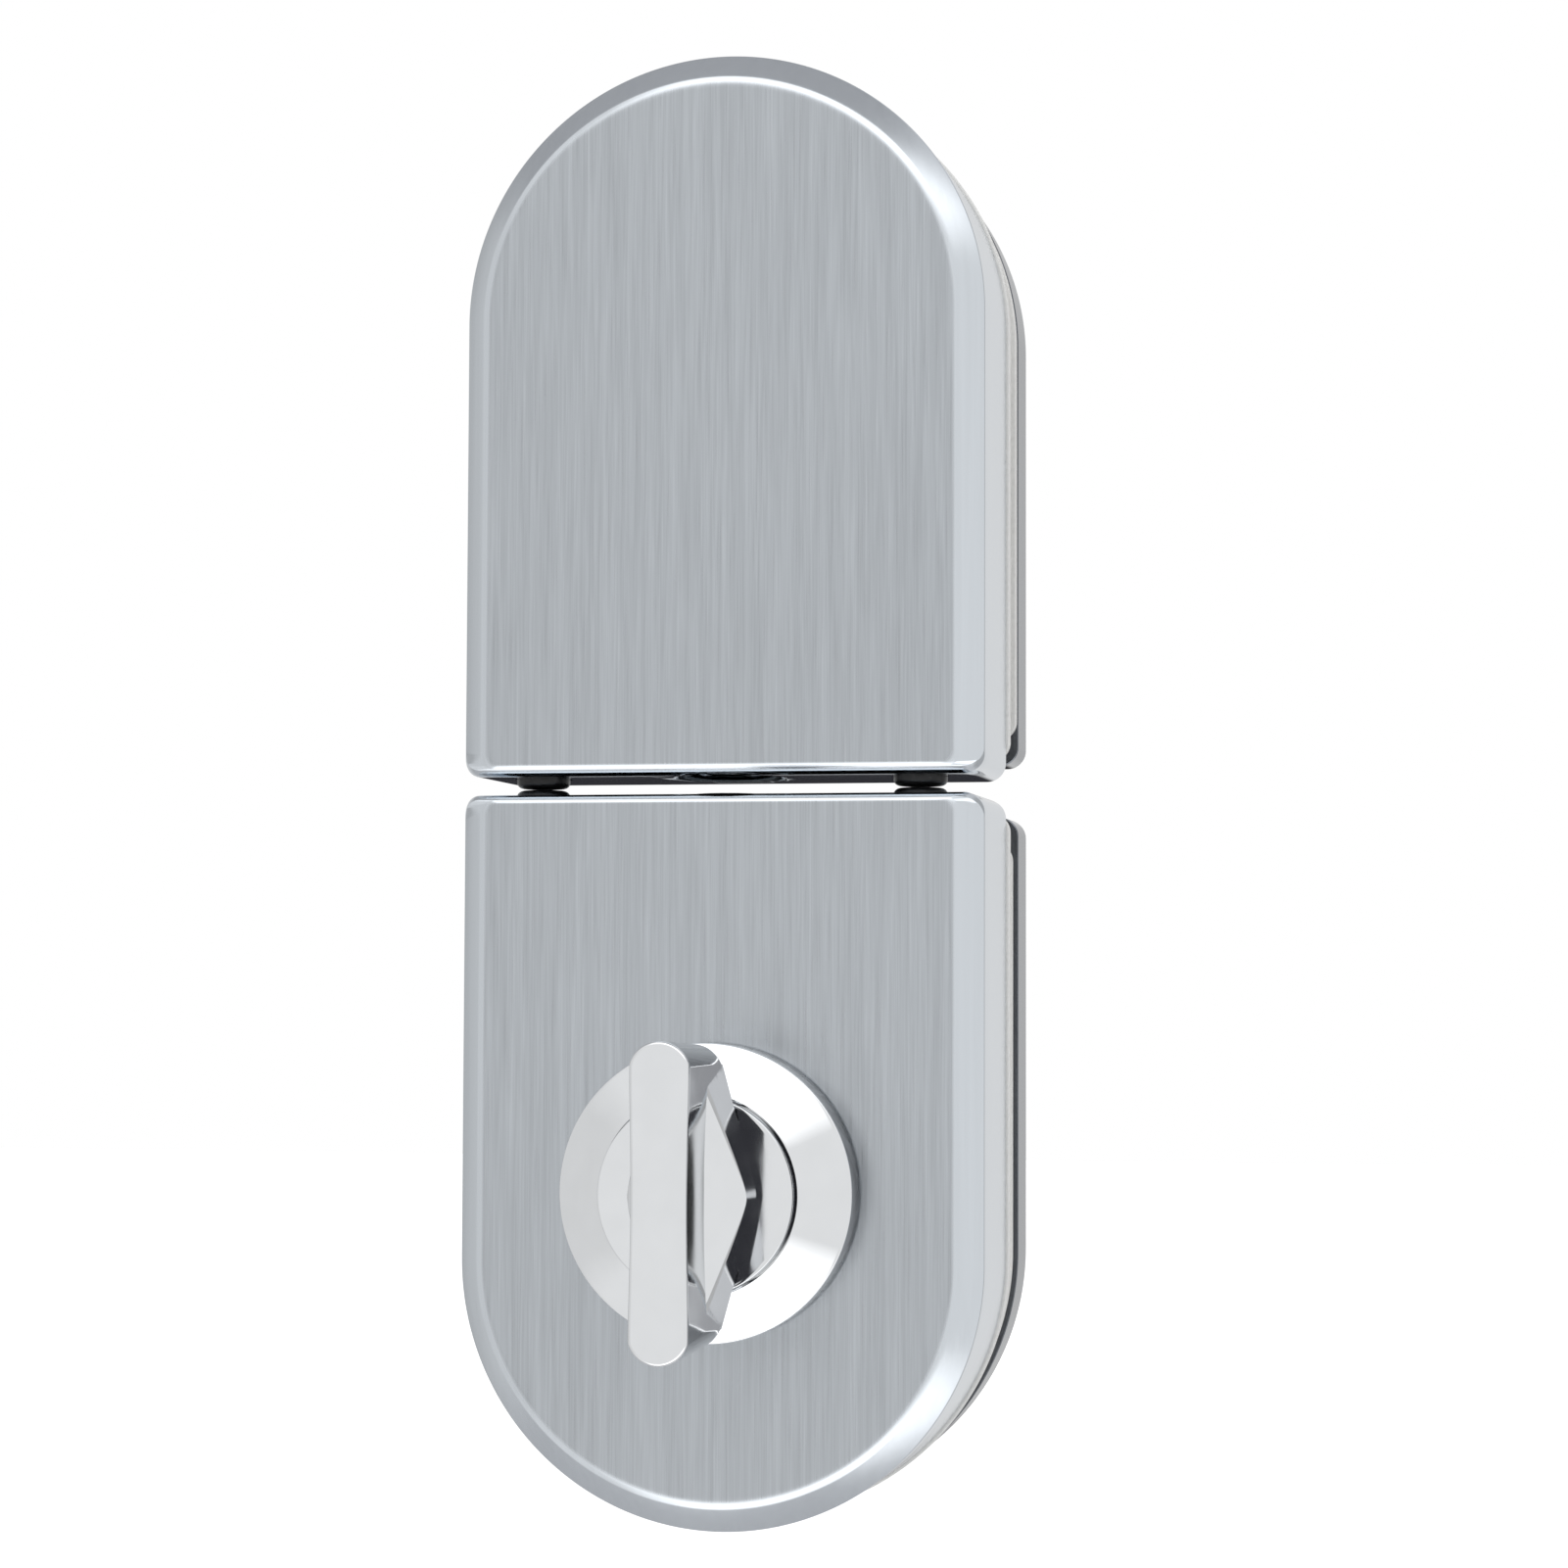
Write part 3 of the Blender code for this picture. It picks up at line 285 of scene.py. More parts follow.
def brushed_stainless(name="brushed_stainless_sheet", code=None):
    """Stainless steel sheet, pressed to shape, then brushed lengthwise by a belt.

    The brush leaves streaks along Z on the flat faces, where they shade the
    tone and dull the mirror. Real ones are about 0.05 mm wide, and these are
    drawn four times as wide, or they wouldn't show. The pressed edges stay
    plain and glossier, and their colour is raised above the sheet's own as a
    painted highlight. The ends along the gap are ground smooth.
    """
    material, tree, shader = start_material(name)
    colour = linear(code or finishes().stainless)
    fine = streaks(tree, 0.00020, 0.012, 2.0)
    broad = streaks(tree, 0.0010, 0.05, 3.0)
    total = add(tree, "ShaderNodeMath", {0: fine, 1: broad}, {"operation": "ADD"})
    grain = add(tree, "ShaderNodeMath", {0: total, 1: 0.5}, {"operation": "MULTIPLY"})
    normal = add(tree, "ShaderNodeTexCoord", output="Normal")
    facing = add(tree, "ShaderNodeSeparateXYZ", {"Vector": normal}, output="Y")
    square = add(tree, "ShaderNodeMath", {0: facing}, {"operation": "ABSOLUTE"})
    flat = add(tree, "ShaderNodeMapRange", {"Value": square, "From Min": 0.95, "From Max": 0.99})
    brushed = tint(tree, grain, colour, 0.83, 1.12)
    # The edges' colour, 1.34 to 1.40 times the sheet's: a painted highlight
    edge = tint(tree, broad, colour, 1.34, 1.40)
    tones = {"Factor": flat, 6: edge, 7: brushed}
    streaked = {"Value": fine, "From Min": 0.3, "From Max": 0.7, "To Min": 0.27, "To Max": 0.35}
    dull = add(tree, "ShaderNodeMapRange", streaked)
    rough = add(tree, "ShaderNodeMix", {"Factor": flat, 2: 0.18, 3: dull})
    ground = {"Factor": ground_end(tree, normal), 2: rough, 3: 0.07}
    height = add(tree, "ShaderNodeMath", {0: fine, 1: flat}, {"operation": "MULTIPLY"})
    relief = {"Height": height, "Distance": 0.00002, "Strength": 0.10}
    surface = {
        "Base Color": add(tree, "ShaderNodeMix", tones, {"data_type": "RGBA"}, 2),
        "Roughness": add(tree, "ShaderNodeMix", ground),
        "Normal": add(tree, "ShaderNodeBump", relief),
        "Metallic": 1.0,
    }
    fill(tree, shader, surface)
    return material


def ground_end(tree, normal):
    """1 on the flat ends along the gap, which are ground smooth, otherwise 0."""
    where = add(tree, "ShaderNodeTexCoord", output="Object")
    rise = add(tree, "ShaderNodeSeparateXYZ", {"Vector": where}, output="Z")
    facing = add(tree, "ShaderNodeSeparateXYZ", {"Vector": normal}, output="Z")
    distance = add(tree, "ShaderNodeMath", {0: rise}, {"operation": "ABSOLUTE"})
    square = add(tree, "ShaderNodeMath", {0: facing}, {"operation": "ABSOLUTE"})
    near = add(tree, "ShaderNodeMath", {0: distance, 1: 0.005}, {"operation": "LESS_THAN"})
    end = add(tree, "ShaderNodeMapRange", {"Value": square, "From Min": 0.55, "From Max": 0.80})
    return add(tree, "ShaderNodeMath", {0: near, 1: end}, {"operation": "MULTIPLY"})


def mottled(name, code, grain, detail, shades, gloss, relief, metallic):
    """A surface whose tone, roughness and relief follow one noise.

    The noise's grain is in metres, shades are the least and greatest share of
    the colour, gloss is the least and greatest roughness, and relief is a
    depth in metres and how much of it shows.
    """
    material, tree, shader = start_material(name)
    where = add(tree, "ShaderNodeTexCoord", output="Object")
    noise = {"Vector": where, "Scale": 1 / grain, "Detail": detail}
    spots = add(tree, "ShaderNodeTexNoise", noise)
    least, most = gloss
    rough = {"Value": spots, "From Min": 0.3, "From Max": 0.7, "To Min": least, "To Max": most}
    depth, strength = relief
    surface = {
        "Base Color": tint(tree, spots, linear(code), *shades),
        "Roughness": add(tree, "ShaderNodeMapRange", rough),
        "Normal": add(
            tree, "ShaderNodeBump", {"Height": spots, "Distance": depth, "Strength": strength}
        ),
        "Metallic": metallic,
    }
    fill(tree, shader, surface)
    return material


def polished_chrome():
    """Chromium plated on a polished zinc casting: a mirror.

    Polishing on a soft wheel leaves faint swells, 4 mm apart, which make what
    is mirrored a little uneven.
    """
    name = "polished_chrome_plate"
    code = finishes().chrome
    return mottled(name, code, 0.003846, 2.0, (0.97, 1.0), (0.05, 0.09), (0.00004, 0.10), 1.0)


def turned_metal(name, code, rough):
    """Bare metal from a lathe or a die: a satin mirror with a fine mottle.

    Tool marks are some hundredths of a millimetre apart. The mottle stands for
    them, drawn about ten times as coarse, or it wouldn't show.
    """
    gloss = (rough - 0.06, rough + 0.06)
    return mottled(name, code, 0.0005556, 3.0, (0.88, 1.04), gloss, (0.00003, 0.15), 1.0)


def moulded(name, code, rough, grain):
    """Moulded plastic or elastomer: a soft shine, broken by the mould's grain.

    A spark-eroded mould's grain is near 0.05 mm, and is drawn about ten times
    as coarse, or it wouldn't show.
    """
    gloss = (rough - 0.05, rough + 0.08)
    return mottled(name, code, grain, 3.0, (0.93, 1.0), gloss, (0.00004, 0.2), 0.0)


MAKERS = {
    "brushed_stainless": brushed_stainless,
    # The far side's covers: the same sheet, brushed the same way, its colour darkened as painted
    # shade for the shade they stand in
    "painted_shade_stainless": lambda: brushed_stainless("stainless_with_painted_shade", "66696E"),
    "polished_chrome": polished_chrome,
    # Zinc die casting, left as cast: dull grey
    "cast_zinc": lambda: turned_metal("zinc_die_casting", "8C8E92", 0.5),
    # Free-cutting steel, turned and nickel-plated: satin, a little warm
    "machined_steel": lambda: turned_metal("nickel_plated_steel", finishes().steel, 0.26),
    # Brass bar, turned and left bare
    "turned_brass": lambda: turned_metal("turned_brass_bar", finishes().brass, 0.24),
    # Elastomer sheet, die-cut: matt and chalky
    "white_gasket": lambda: moulded("white_elastomer", finishes().gasket, 0.5, 0.0006),
    # Rubber, moulded in a polished mould: black with a soft shine
    "black_rubber": lambda: moulded("black_moulded_rubber", finishes().rubber, 0.32, 0.0004),
    # Acetal, injection-moulded: black and waxy
    "black_acetal": lambda: moulded("black_acetal", "26272A", 0.36, 0.0008),
}
MADE = {}


def finish(slot):
    """The material for one of the record's slots, made once."""
    if slot not in MADE:
        MADE[slot] = MAKERS[slot]()
    return MADE[slot]


def solid(name, rings, endless=False):
    """A closed mesh through a stack of loops, all with the same point count.

    rings is an array (loops, points, 3). Point j of loop i joins point j + 1
    of the same loop and point j of loop i + 1. The ends close with one flat
    face each, or the last loop joins the first when endless is set.
    """
    rings = np.asarray(rings, dtype=float)
    stack, around = rings.shape[:2]
    row = np.arange(stack if endless else stack - 1)[:, None]
    column = np.arange(around)[None, :]
    here = row * around + column
    beside = row * around + (column + 1) % around
    after = ((row + 1) % stack) * around
    quads = np.stack((here, beside, after + (column + 1) % around, after + column), axis=-1)
    faces = quads.reshape(-1, 4).tolist()
    if not endless:
        faces.append(list(range(around))[::-1])
        faces.append(list(range((stack - 1) * around, stack * around)))
    mesh = bpy.data.meshes.new(name)
    mesh.from_pydata(rings.reshape(-1, 3), [], faces)
    mesh.validate()
    piece = bpy.data.objects.new(name, mesh)
    bpy.context.scene.collection.objects.link(piece)
    outward(mesh)
    return piece


def outward(mesh):
    """Turns a closed mesh's faces out: its signed volume must be positive."""
    mesh.calc_loop_triangles()
    count = len(mesh.loop_triangles)
    corners = np.empty(count * 3, dtype=np.int32)
    mesh.loop_triangles.foreach_get("vertices", corners)
    places = np.empty(len(mesh.vertices) * 3)
    mesh.vertices.foreach_get("co", places)
    triangles = places.reshape(-1, 3)[corners.reshape(-1, 3)]
    if np.linalg.det(triangles).sum() < 0:
        mesh.flip_normals()
    mesh.update()


def smooth(piece, degrees=35):
    """Smooth shading, but for creases where faces turn by more than the degrees."""
    piece.data.shade_smooth()
    piece.data.set_sharp_from_angle(angle=math.radians(degrees))


def carve(piece, cutters, operation="DIFFERENCE"):
    """Cuts closed cutters from a piece, or joins them to it, and removes them."""
    for cutter in cutters:
        step = piece.modifiers.new(operation.lower(), "BOOLEAN")
        step.operation = operation
        step.solver = "EXACT"
        step.object = cutter
    bpy.context.view_layer.update()
    graph = bpy.context.evaluated_depsgraph_get()
    shaped = bpy.data.meshes.new_from_object(piece.evaluated_get(graph))
    piece.modifiers.clear()
    piece.data = shaped
    for cutter in cutters:
        bpy.data.objects.remove(cutter, do_unlink=True)
    return piece


def place(points, half):
    """Takes points of a half's own frame to the CAD's frame.

    A half's frame has x across, y from the covers' faces into the door and z
    from the gap end towards the arch. The lock half is turned round Y.
    """
    points = np.asarray(points, dtype=float)
    sign = 1.0 if half == "strike" else -1.0
    x = sign * points[..., 0]
    z = sign * (HALF_GAP + points[..., 2])
    return np.stack((x, points[..., 1] + FACE, z), axis=-1)


def outline(inset, end_inset, corner, depth, end_depth=None, flatter=0.0):
    """Loop of an arched half: x = half width, z from the gap end to the arch.

    The corners run through a quarter turn, in which the depth goes from
    end_depth to depth with the square of the sine, then come the sides and a
    half circle of the half width, less high by the amount of flatter.
    """
    if end_depth is None:
        end_depth = depth
    half = sizes().cover_width / 2 - inset
    centre = HALF_LENGTH - sizes().cover_width / 2
    turn = np.linspace(0, np.pi / 2, 11)
    right = np.stack(
        (
            half - corner + corner * np.sin(turn),
            end_depth + (depth - end_depth) * np.sin(turn) ** 2,
            end_inset + corner - corner * np.cos(turn),
        ),
        axis=-1,
    )
    start = end_inset + corner
    side_z = np.linspace(start, centre, 26)[1:-1]
    side = np.stack((np.full_like(side_z, half), np.full_like(side_z, depth), side_z), axis=-1)
    swing = np.linspace(0, np.pi, 161)
    arch = np.stack(
        (
            half * np.cos(swing),
            np.full_like(swing, depth),
            centre + (half - flatter) * np.sin(swing),
        ),
        axis=-1,
    )
    mirror = np.array((-1.0, 1.0, 1.0))
    bottom_x = np.linspace(-(half - corner), half - corner, 24)[1:-1]
    level, along = np.full_like(bottom_x, end_depth), np.full_like(bottom_x, end_inset)
    bottom = np.stack((bottom_x, level, along), axis=-1)
    return np.concatenate(
        (right, side, arch, side[::-1] * mirror, right[::-1] * mirror, bottom)
    )


def bevelled(width, depth, lean, first):
    """(inset, drop) points of a cover's edge, from its face out to its skirt.

    An arc of radius r turns by the lean, a bevel of length l follows, and a
    second arc of radius q turns on to 90 degrees. q and l are what is left:
    width = r sin + l cos + q (1 - sin) and depth = r (1 - cos) + l sin + q cos.
    """
    angle = math.radians(lean)
    sine, cosine = math.sin(angle), math.cos(angle)
    across = width - first * sine
    down = depth - first * (1 - cosine)
    last = (down - across * math.tan(angle)) / (cosine - (1 - sine) * math.tan(angle))
    length = (across - last * (1 - sine)) / cosine
    turn = np.linspace(0, angle, 9)
    near = np.stack((width - first * np.sin(turn), first * (1 - np.cos(turn))), axis=-1)
    turn = np.linspace(angle, np.pi / 2, 9)
    fall = near[-1, 1] + length * sine
    far = np.stack((last * (1 - np.sin(turn)), fall + last * (cosine - np.cos(turn))), axis=-1)
    return np.concatenate((near, far))


def shell(name, half, face, inward, depth, edges, setback):
    """Pressed cover: a flat face, a bevelled edge, a skirt and an even wall.

    Edges holds the width, depth and first radius of the edge at the sides, and
    its width along the gap, where it is 1.18 times as deep and its first arc
    has 0.77 of the width. The bevel leans by 42 degrees at the sides and by 38
    along the gap. At the top of the arch the edge is wider by 15%. Inside, the
    wall follows a quarter ellipse.
    """
    side_width, side_depth, first, end_edge = edges
    side = bevelled(side_width, side_depth, 42, first)
    end = bevelled(end_edge, 1.18 * end_edge, 38, 0.77 * end_edge)
    wall = sizes().cover_wall
    face_corner = 0.0016
    arch_edge = 0.15 * side_width
    loops = []
    for inner, radius in ((0.0012, SMALL_CORNER), (0.0003, face_corner)):
        across, along = side_width + inner, setback + end_edge + inner
        loops.append(outline(across, along, radius, face, None, arch_edge))
    for (inset, drop), (end_inset, end_drop) in zip(side, end):
        share = inset / side_width
        loops.append(
            outline(
                inset,
                setback + end_inset,
                CORNER + (face_corner - CORNER) * share,
                face + inward * drop,
                face + inward * end_drop,
                arch_edge * share,
            )
        )
    rim = face + inward * depth
    lip = 0.00012
    for level in (0.35, 0.7, 0.9):
        loops.append(outline(0.0, setback, CORNER, face + inward * depth * level))
    loops.append(outline(0.0, setback, CORNER, rim - inward * lip))
    loops.append(outline(lip, setback + lip, CORNER, rim))
    inner = CORNER - wall
    loops.append(outline(wall, setback + wall, inner, rim))
    for t in np.linspace(np.pi / 2, 0, 5):
        inset = wall + (side_width - wall) * (1 - math.sin(t))
        level = face + inward * (wall + (side_depth - wall) * (1 - math.cos(t)))
        loops.append(outline(inset, setback + wall, inner, level))
    return solid(name, place(np.array(loops), half))


def revolve(name, half, profile, axis="Y", centre=(0.0, 0.0), steps=96, hollow=False):
    """Turned piece: each (radius, height) of the profile makes one circle.

    About Y the centre is (x, z), and about Z it is (x, y).
    """
    profile = np.asarray(profile, dtype=float)
    angle = np.linspace(0, 2 * np.pi, steps, endpoint=False)
    radius = profile[:, 0][:, None]
    first = centre[0] + radius * np.cos(angle)[None, :]
    second = centre[1] + radius * np.sin(angle)[None, :]
    height = np.repeat(profile[:, 1][:, None], steps, axis=1)
    order = (first, height, second) if axis == "Y" else (first, second, height)
    return solid(name, place(np.stack(order, axis=-1), half), endless=hollow)


def arc(radius_from, height_from, radius_to, height_to, bulge, count=7):
    """Points of a rounded corner between two profile points.

    They follow a quarter ellipse that leaves the first point along the
    profile's height when bulge is 1, and along its radius when it is 0.
    """
    turn = np.linspace(0, np.pi / 2, count)
    slow = 1 - np.cos(turn)
    fast = np.sin(turn)
    radius_share, height_share = (slow, fast) if bulge else (fast, slow)
    radius = radius_from + (radius_to - radius_from) * radius_share
    height = height_from + (height_to - height_from) * height_share
    return list(zip(radius.tolist(), height.tolist()))


def dress(piece, body, slot, *nodes, degrees=35, look=None):
    """Gives a piece its finish, parents it to its body and hides the CAD nodes that it stands for.
    """
    smooth(piece, degrees)
    piece.data.materials.clear()
    piece.data.materials.append(finish(look or slot))
    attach(piece, body)
    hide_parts(*nodes)
    return piece


# Shares of the light tent: the dot product of a mirrored ray's direction with the
# aim, where the share starts to rise and where it is whole
TENT_SHARES = {
    "backward": ((0.0, 1.0, 0.0), -1.0, 1.0),
    "right": ((1.0, 0.0, 0.0), 0.2, 0.5),
    "left": ((1.0, 0.0, 0.0), -0.32, -0.75),
    "below": ((0.0, 0.0, 1.0), 0.3, -0.3),
    "box_middle": ((1.0, 0.0, 0.0), -0.52, -0.30),
    "box": ((0.30, 1.0, 0.0), -0.24, -0.34),
    "box_beside": ((-0.35, 1.0, 0.0), -0.35, -0.44),
    "corner": ((1.0, 1.0, 0.0), 0.36, 0.50),
    "front_opening": ((0.20, -0.98, 0.0), 0.955, 0.975),
    "card": ((0.350, -0.937, -0.010), 0.99854, 0.99894),
    "back_opening": ((-0.23, 0.97, -0.06), 0.978, 0.990),
}

# Greys of the tent's walls, from the front (0) to the back (1)
TENT_WALLS = {
    "left": ((0.0, 0.69), (0.525, 0.69), (0.60, 0.57), (0.64, 0.42), (0.97, 0.76)),
    "middle": ((0.0, 0.80), (0.525, 0.80), (0.60, 0.50), (0.64, 0.38), (0.97, 0.76)),
    "right": ((0.0, 0.80), (0.60, 0.80), (0.64, 0.45), (0.87, 0.45), (0.97, 0.70)),
    "right_again": (
        (0.0, 0.80),
        (0.40, 0.80),
        (0.44, 0.03),
        (0.525, 0.03),
        (0.545, 0.74),
        (0.575, 0.74),
        (0.60, 0.36),
        (0.87, 0.42),
        (0.97, 0.80),
    ),
}

# Greys of the tent's other parts, where 1 is white
TENT_TONES = {
    "box_side": (0.80, 0.80, 0.80, 1.0),
    "box_lamp": (1.5, 1.5, 1.5, 1.0),
    "above": (0.40, 0.40, 0.41, 1.0),
    "below": (0.50, 0.50, 0.51, 1.0),
    "above_again": (0.32, 0.32, 0.33, 1.0),
    "below_again": (0.39, 0.39, 0.40, 1.0),
    "corner": (0.62, 0.62, 0.63, 1.0),
    "opening": (0.03, 0.03, 0.035, 1.0),
    "card": (0.70, 0.70, 0.71, 1.0),
}

# How the tones mix, in order: the result, its share, and the tones at 0 and at 1
TENT_MIXES = (
    ("right", "again", "right", "right_again"),
    ("walls", "right", "middle", "right"),
    ("walls", "left", "walls", "left"),
    ("box", "box_middle", "box_side", "box_lamp"),
    ("plain", "below", "above", "below"),
    ("plain_again", "below", "above_again", "below_again"),
    ("plain", "again", "plain", "plain_again"),
    ("plain", "corner", "plain", "corner"),
    ("ends", "box", "plain", "box"),
    ("light", "steep", "walls", "ends"),
    ("light", "front_opening", "light", "opening"),
    ("light", "card", "light", "card"),
    ("light", "back_opening", "light", "opening"),
)


class LOCK_OT_stage(bpy.types.Operator):
    """Camera, studio light and floor."""

    bl_idname = "lock.stage"
    bl_label = "Stage"

    def execute(self, context):
        self.camera(context.scene)
        self.world(context.scene)
        self.floor()
        context.scene.view_settings.view_transform = "Standard"
        return {"FINISHED"}

    def camera(self, scene):
        """Stands where the photograph was taken, to the right and below."""
        yaw, pitch, roll = (math.radians(value) for value in (11.64, 3.16, 0.20))
        stand = (0.10225, -0.45501 + FACE, -0.02644)
        ahead = Vector(
            (-math.sin(yaw) * math.cos(pitch), math.cos(yaw) * math.cos(pitch), math.sin(pitch))
        )
        level = Vector((math.cos(yaw), math.sin(yaw), 0.0))
        rise = level.cross(ahead)
        right = math.cos(roll) * level + math.sin(roll) * rise
        above = -math.sin(roll) * level + math.cos(roll) * rise
        data = bpy.data.cameras.new("camera")
        data.sensor_width = 36.0
        data.lens = 86.92
        data.shift_y = 0.0044
        data.clip_end = 50.0
        camera = bpy.data.objects.new("camera", data)
        turn = Matrix((right, above, -ahead)).transposed().to_4x4()
        camera.matrix_world = Matrix.Translation(stand) @ turn
        scene.collection.objects.link(camera)
        scene.camera = camera

    def world(self, scene):
        """Light tent with softboxes above and below, and two dark openings.

        All depends on the direction (X, Y, Z) of a mirrored ray. Where |Z| is
        under 0.42 the tent's walls show, as ramps over Y: one each for the
        left, the middle and the right, which has a second ramp for rays that
        were mirrored twice. Past |Z| = 0.62 the ends show. They are a white
        softbox where 0.30 X + Y is below -0.34, and for rays mirrored once also
        where Y - 0.35 X is below -0.44, a duller one for X below -0.52, and
        grey elsewhere. The opening behind the lock is always dark. The one at
        the camera is dark for rays mirrored twice, but for a light card in it.
        """
        world = bpy.data.worlds.new("light_tent")
        world.use_nodes = True
        tree = world.node_tree
        where = add(tree, "ShaderNodeTexCoord", output="Generated")
        share = {}
        for name, (aim, start, whole) in TENT_SHARES.items():
            sockets = {0: where, 1: aim}
            along = add(tree, "ShaderNodeVectorMath", sockets, {"operation": "DOT_PRODUCT"}, "Value")
            rise = {"Value": along, "From Min": start, "From Max": whole}
            share[name] = add(tree, "ShaderNodeMapRange", rise)
        rise = add(tree, "ShaderNodeSeparateXYZ", {"Vector": where}, output="Z")
        height = add(tree, "ShaderNodeMath", {0: rise}, {"operation": "ABSOLUTE"})
        # How often the ray was mirrored, which is 1 for what the eye sees directly in metal
        bounces = add(tree, "ShaderNodeLightPath", output="Glossy Depth")
        for name, number, start, whole in (
            ("steep", height, 0.42, 0.62),
            ("once", bounces, 1.6, 1.4),
            ("again", bounces, 1.4, 1.6),
        ):
            rise = {"Value": number, "From Min": start, "From Max": whole}
            share[name] = add(tree, "ShaderNodeMapRange", rise)
        # These parts are there only for rays mirrored once, or only for those mirrored again
        for name, bounce in (("box_beside", "once"), ("front_opening", "again"), ("card", "again")):
            pair = {0: share[name], 1: share[bounce]}
            share[name] = add(tree, "ShaderNodeMath", pair, {"operation": "MULTIPLY"})
        pair = {0: share["box"], 1: share["box_beside"]}
        share["box"] = add(tree, "ShaderNodeMath", pair, {"operation": "MAXIMUM"})
        tone = dict(TENT_TONES)
        for name, stops in TENT_WALLS.items():
            tone[name] = add(tree, "ShaderNodeValToRGB", {"Fac": share["backward"]}, stops=stops)
        for result, factor, at_none, at_whole in TENT_MIXES:
            sockets = {"Factor": share[factor], 6: tone[at_none], 7: tone[at_whole]}
            tone[result] = add(tree, "ShaderNodeMix", sockets, {"data_type": "RGBA"}, 2)
        lit = tree.nodes["Background"]
        fill(tree, lit, {"Color": tone["light"], "Strength": 1.0})
        white = add(tree, "ShaderNodeBackground", {"Color": linear("FFFFFF"), "Strength": 1.0})
        seen = add(tree, "ShaderNodeLightPath", output="Is Camera Ray")
        surface = add(tree, "ShaderNodeMixShader", {0: seen, 1: lit.outputs[0], 2: white})
        fill(tree, tree.nodes["World Output"], {"Surface": surface})
        scene.world = world

    def floor(self):
        """A wide pale floor well below the lock, lit up to white for the eye."""
        level, reach = -0.30, 6.0
        corners = [(x * reach, y * reach, level) for x, y in ((-1, -1), (1, -1), (1, 1), (-1, 1))]
        mesh = bpy.data.meshes.new("floor")
        mesh.from_pydata(corners, [], [(0, 1, 2, 3)])
        floor = bpy.data.objects.new("floor", mesh)
        bpy.context.scene.collection.objects.link(floor)
        material, tree, shader = start_material("pale_floor")
        seen = add(tree, "ShaderNodeLightPath", output="Is Camera Ray")
        lift = add(tree, "ShaderNodeMath", {0: seen, 1: 0.5}, {"operation": "MULTIPLY"})
        paint = {"Base Color": linear("EDEDED"), "Roughness": 0.9}
        fill(tree, shader, {**paint, "Emission Color": linear("FFFFFF"), "Emission Strength": lift})
        mirrored = add(tree, "ShaderNodeLightPath", output="Is Glossy Ray")
        clear = add(tree, "ShaderNodeBsdfTransparent")
        surface = add(tree, "ShaderNodeMixShader", {0: mirrored, 1: shader.outputs[0], 2: clear})
        fill(tree, tree.nodes["Material Output"], {"Surface": surface})
        mesh.materials.append(material)


class LOCK_OT_covers(bpy.types.Operator):
    """The two front covers, with their holes for the bolt and the buffers."""

    bl_idname = "lock.covers"
    bl_label = "Front covers"

    def execute(self, context):
        size = sizes()
        # Setback and edge along the gap, radius of the bolt's hole, and the dish round it.
        # The lock's end stands a little nearer the gap than the strike's.
        halves = {
            "strike": (0.0, size.end_edge, 0.0062, 0.0011),
            "lock": (-0.0003, 0.76 * size.end_edge, 0.00615, 0.0001),
        }
        first = 0.0022
        buffer_hole = 0.00365
        neck_hole = 0.0082
        behind = 0.003
        for half, (setback, end_edge, radius, dish) in halves.items():
            edges = (size.edge_width, size.edge_depth, first, end_edge)
            cover = shell(half + "_cover_shell", half, 0.0, 1, size.cover_depth, edges, setback)
            cutters = []
            for sign in (-1, 1):
                hole = [(buffer_hole, -2 * PAST), (buffer_hole, behind)]
                centre = (sign * BUFFER_SPREAD, BOLT_DEPTH)
                cutters.append(revolve("hole", half, hole, "Z", centre, 48))
            deep = dish * 0.8
            profile = [
                (radius + dish + PAST, -PAST),
                (radius + dish, 0.0),
                (radius + dish * 0.3, deep * 0.6),
                (radius, deep),
                (radius, behind),
            ]
            cutters.append(revolve("bolt_hole", half, profile, "Z", (0.0, BOLT_DEPTH), 96))
            if half == "lock":
                neck = [(neck_hole, -2 * PAST), (neck_hole, behind)]
                cutters.append(revolve("neck_hole", half, neck, "Y", (0.0, TURN_RISE), 96))
            carve(cover, cutters)
            dress(cover, "casing", "brushed_stainless", half + "_cover")
        return {"FINISHED"}


class LOCK_OT_back_covers(bpy.types.Operator):
    """The two pressed covers behind the glass, with sinks for the screws."""

    bl_idname = "lock.back_covers"
    bl_label = "Back covers"

    def execute(self, context):
        edge = 0.0025
        edges = (edge, edge, 0.0019, edge)
        screw_hole, sink_radius, sink_depth = 0.0028, 0.0049, 0.0021
        for half, setback in (("strike", 0.0027), ("lock", 0.0014)):
            node = half + "_back_cover"
            back = high(node, "Y") - FACE
            depth = high(node, "Y") - low(node, "Y")
            cover = shell(node + "_shell", half, back, -1, depth, edges, setback)
            inside = back - 4 * PAST
            sink = [(screw_hole, inside), (screw_hole, back - sink_depth)]
            sink += [(sink_radius, back), (sink_radius, back + PAST)]
            cutters = []
            for sign in (-1, 1):
                centre = (sign * SCREW_SPREAD, SCREW_RISE)
                cutters.append(revolve("sink", half, sink, "Y", centre, 64))
            if half == "lock":
                hole = [(COLLAR_BORE, inside), (COLLAR_BORE, back + PAST)]
                cutters.append(revolve("hole", half, hole, "Y", (0.0, TURN_RISE), 96))
            carve(cover, cutters)
            # The far covers take the brushed sheet with its colour darkened: painted shade
            dress(cover, "casing", "brushed_stainless", node, look="painted_shade_stainless")
        return {"FINISHED"}


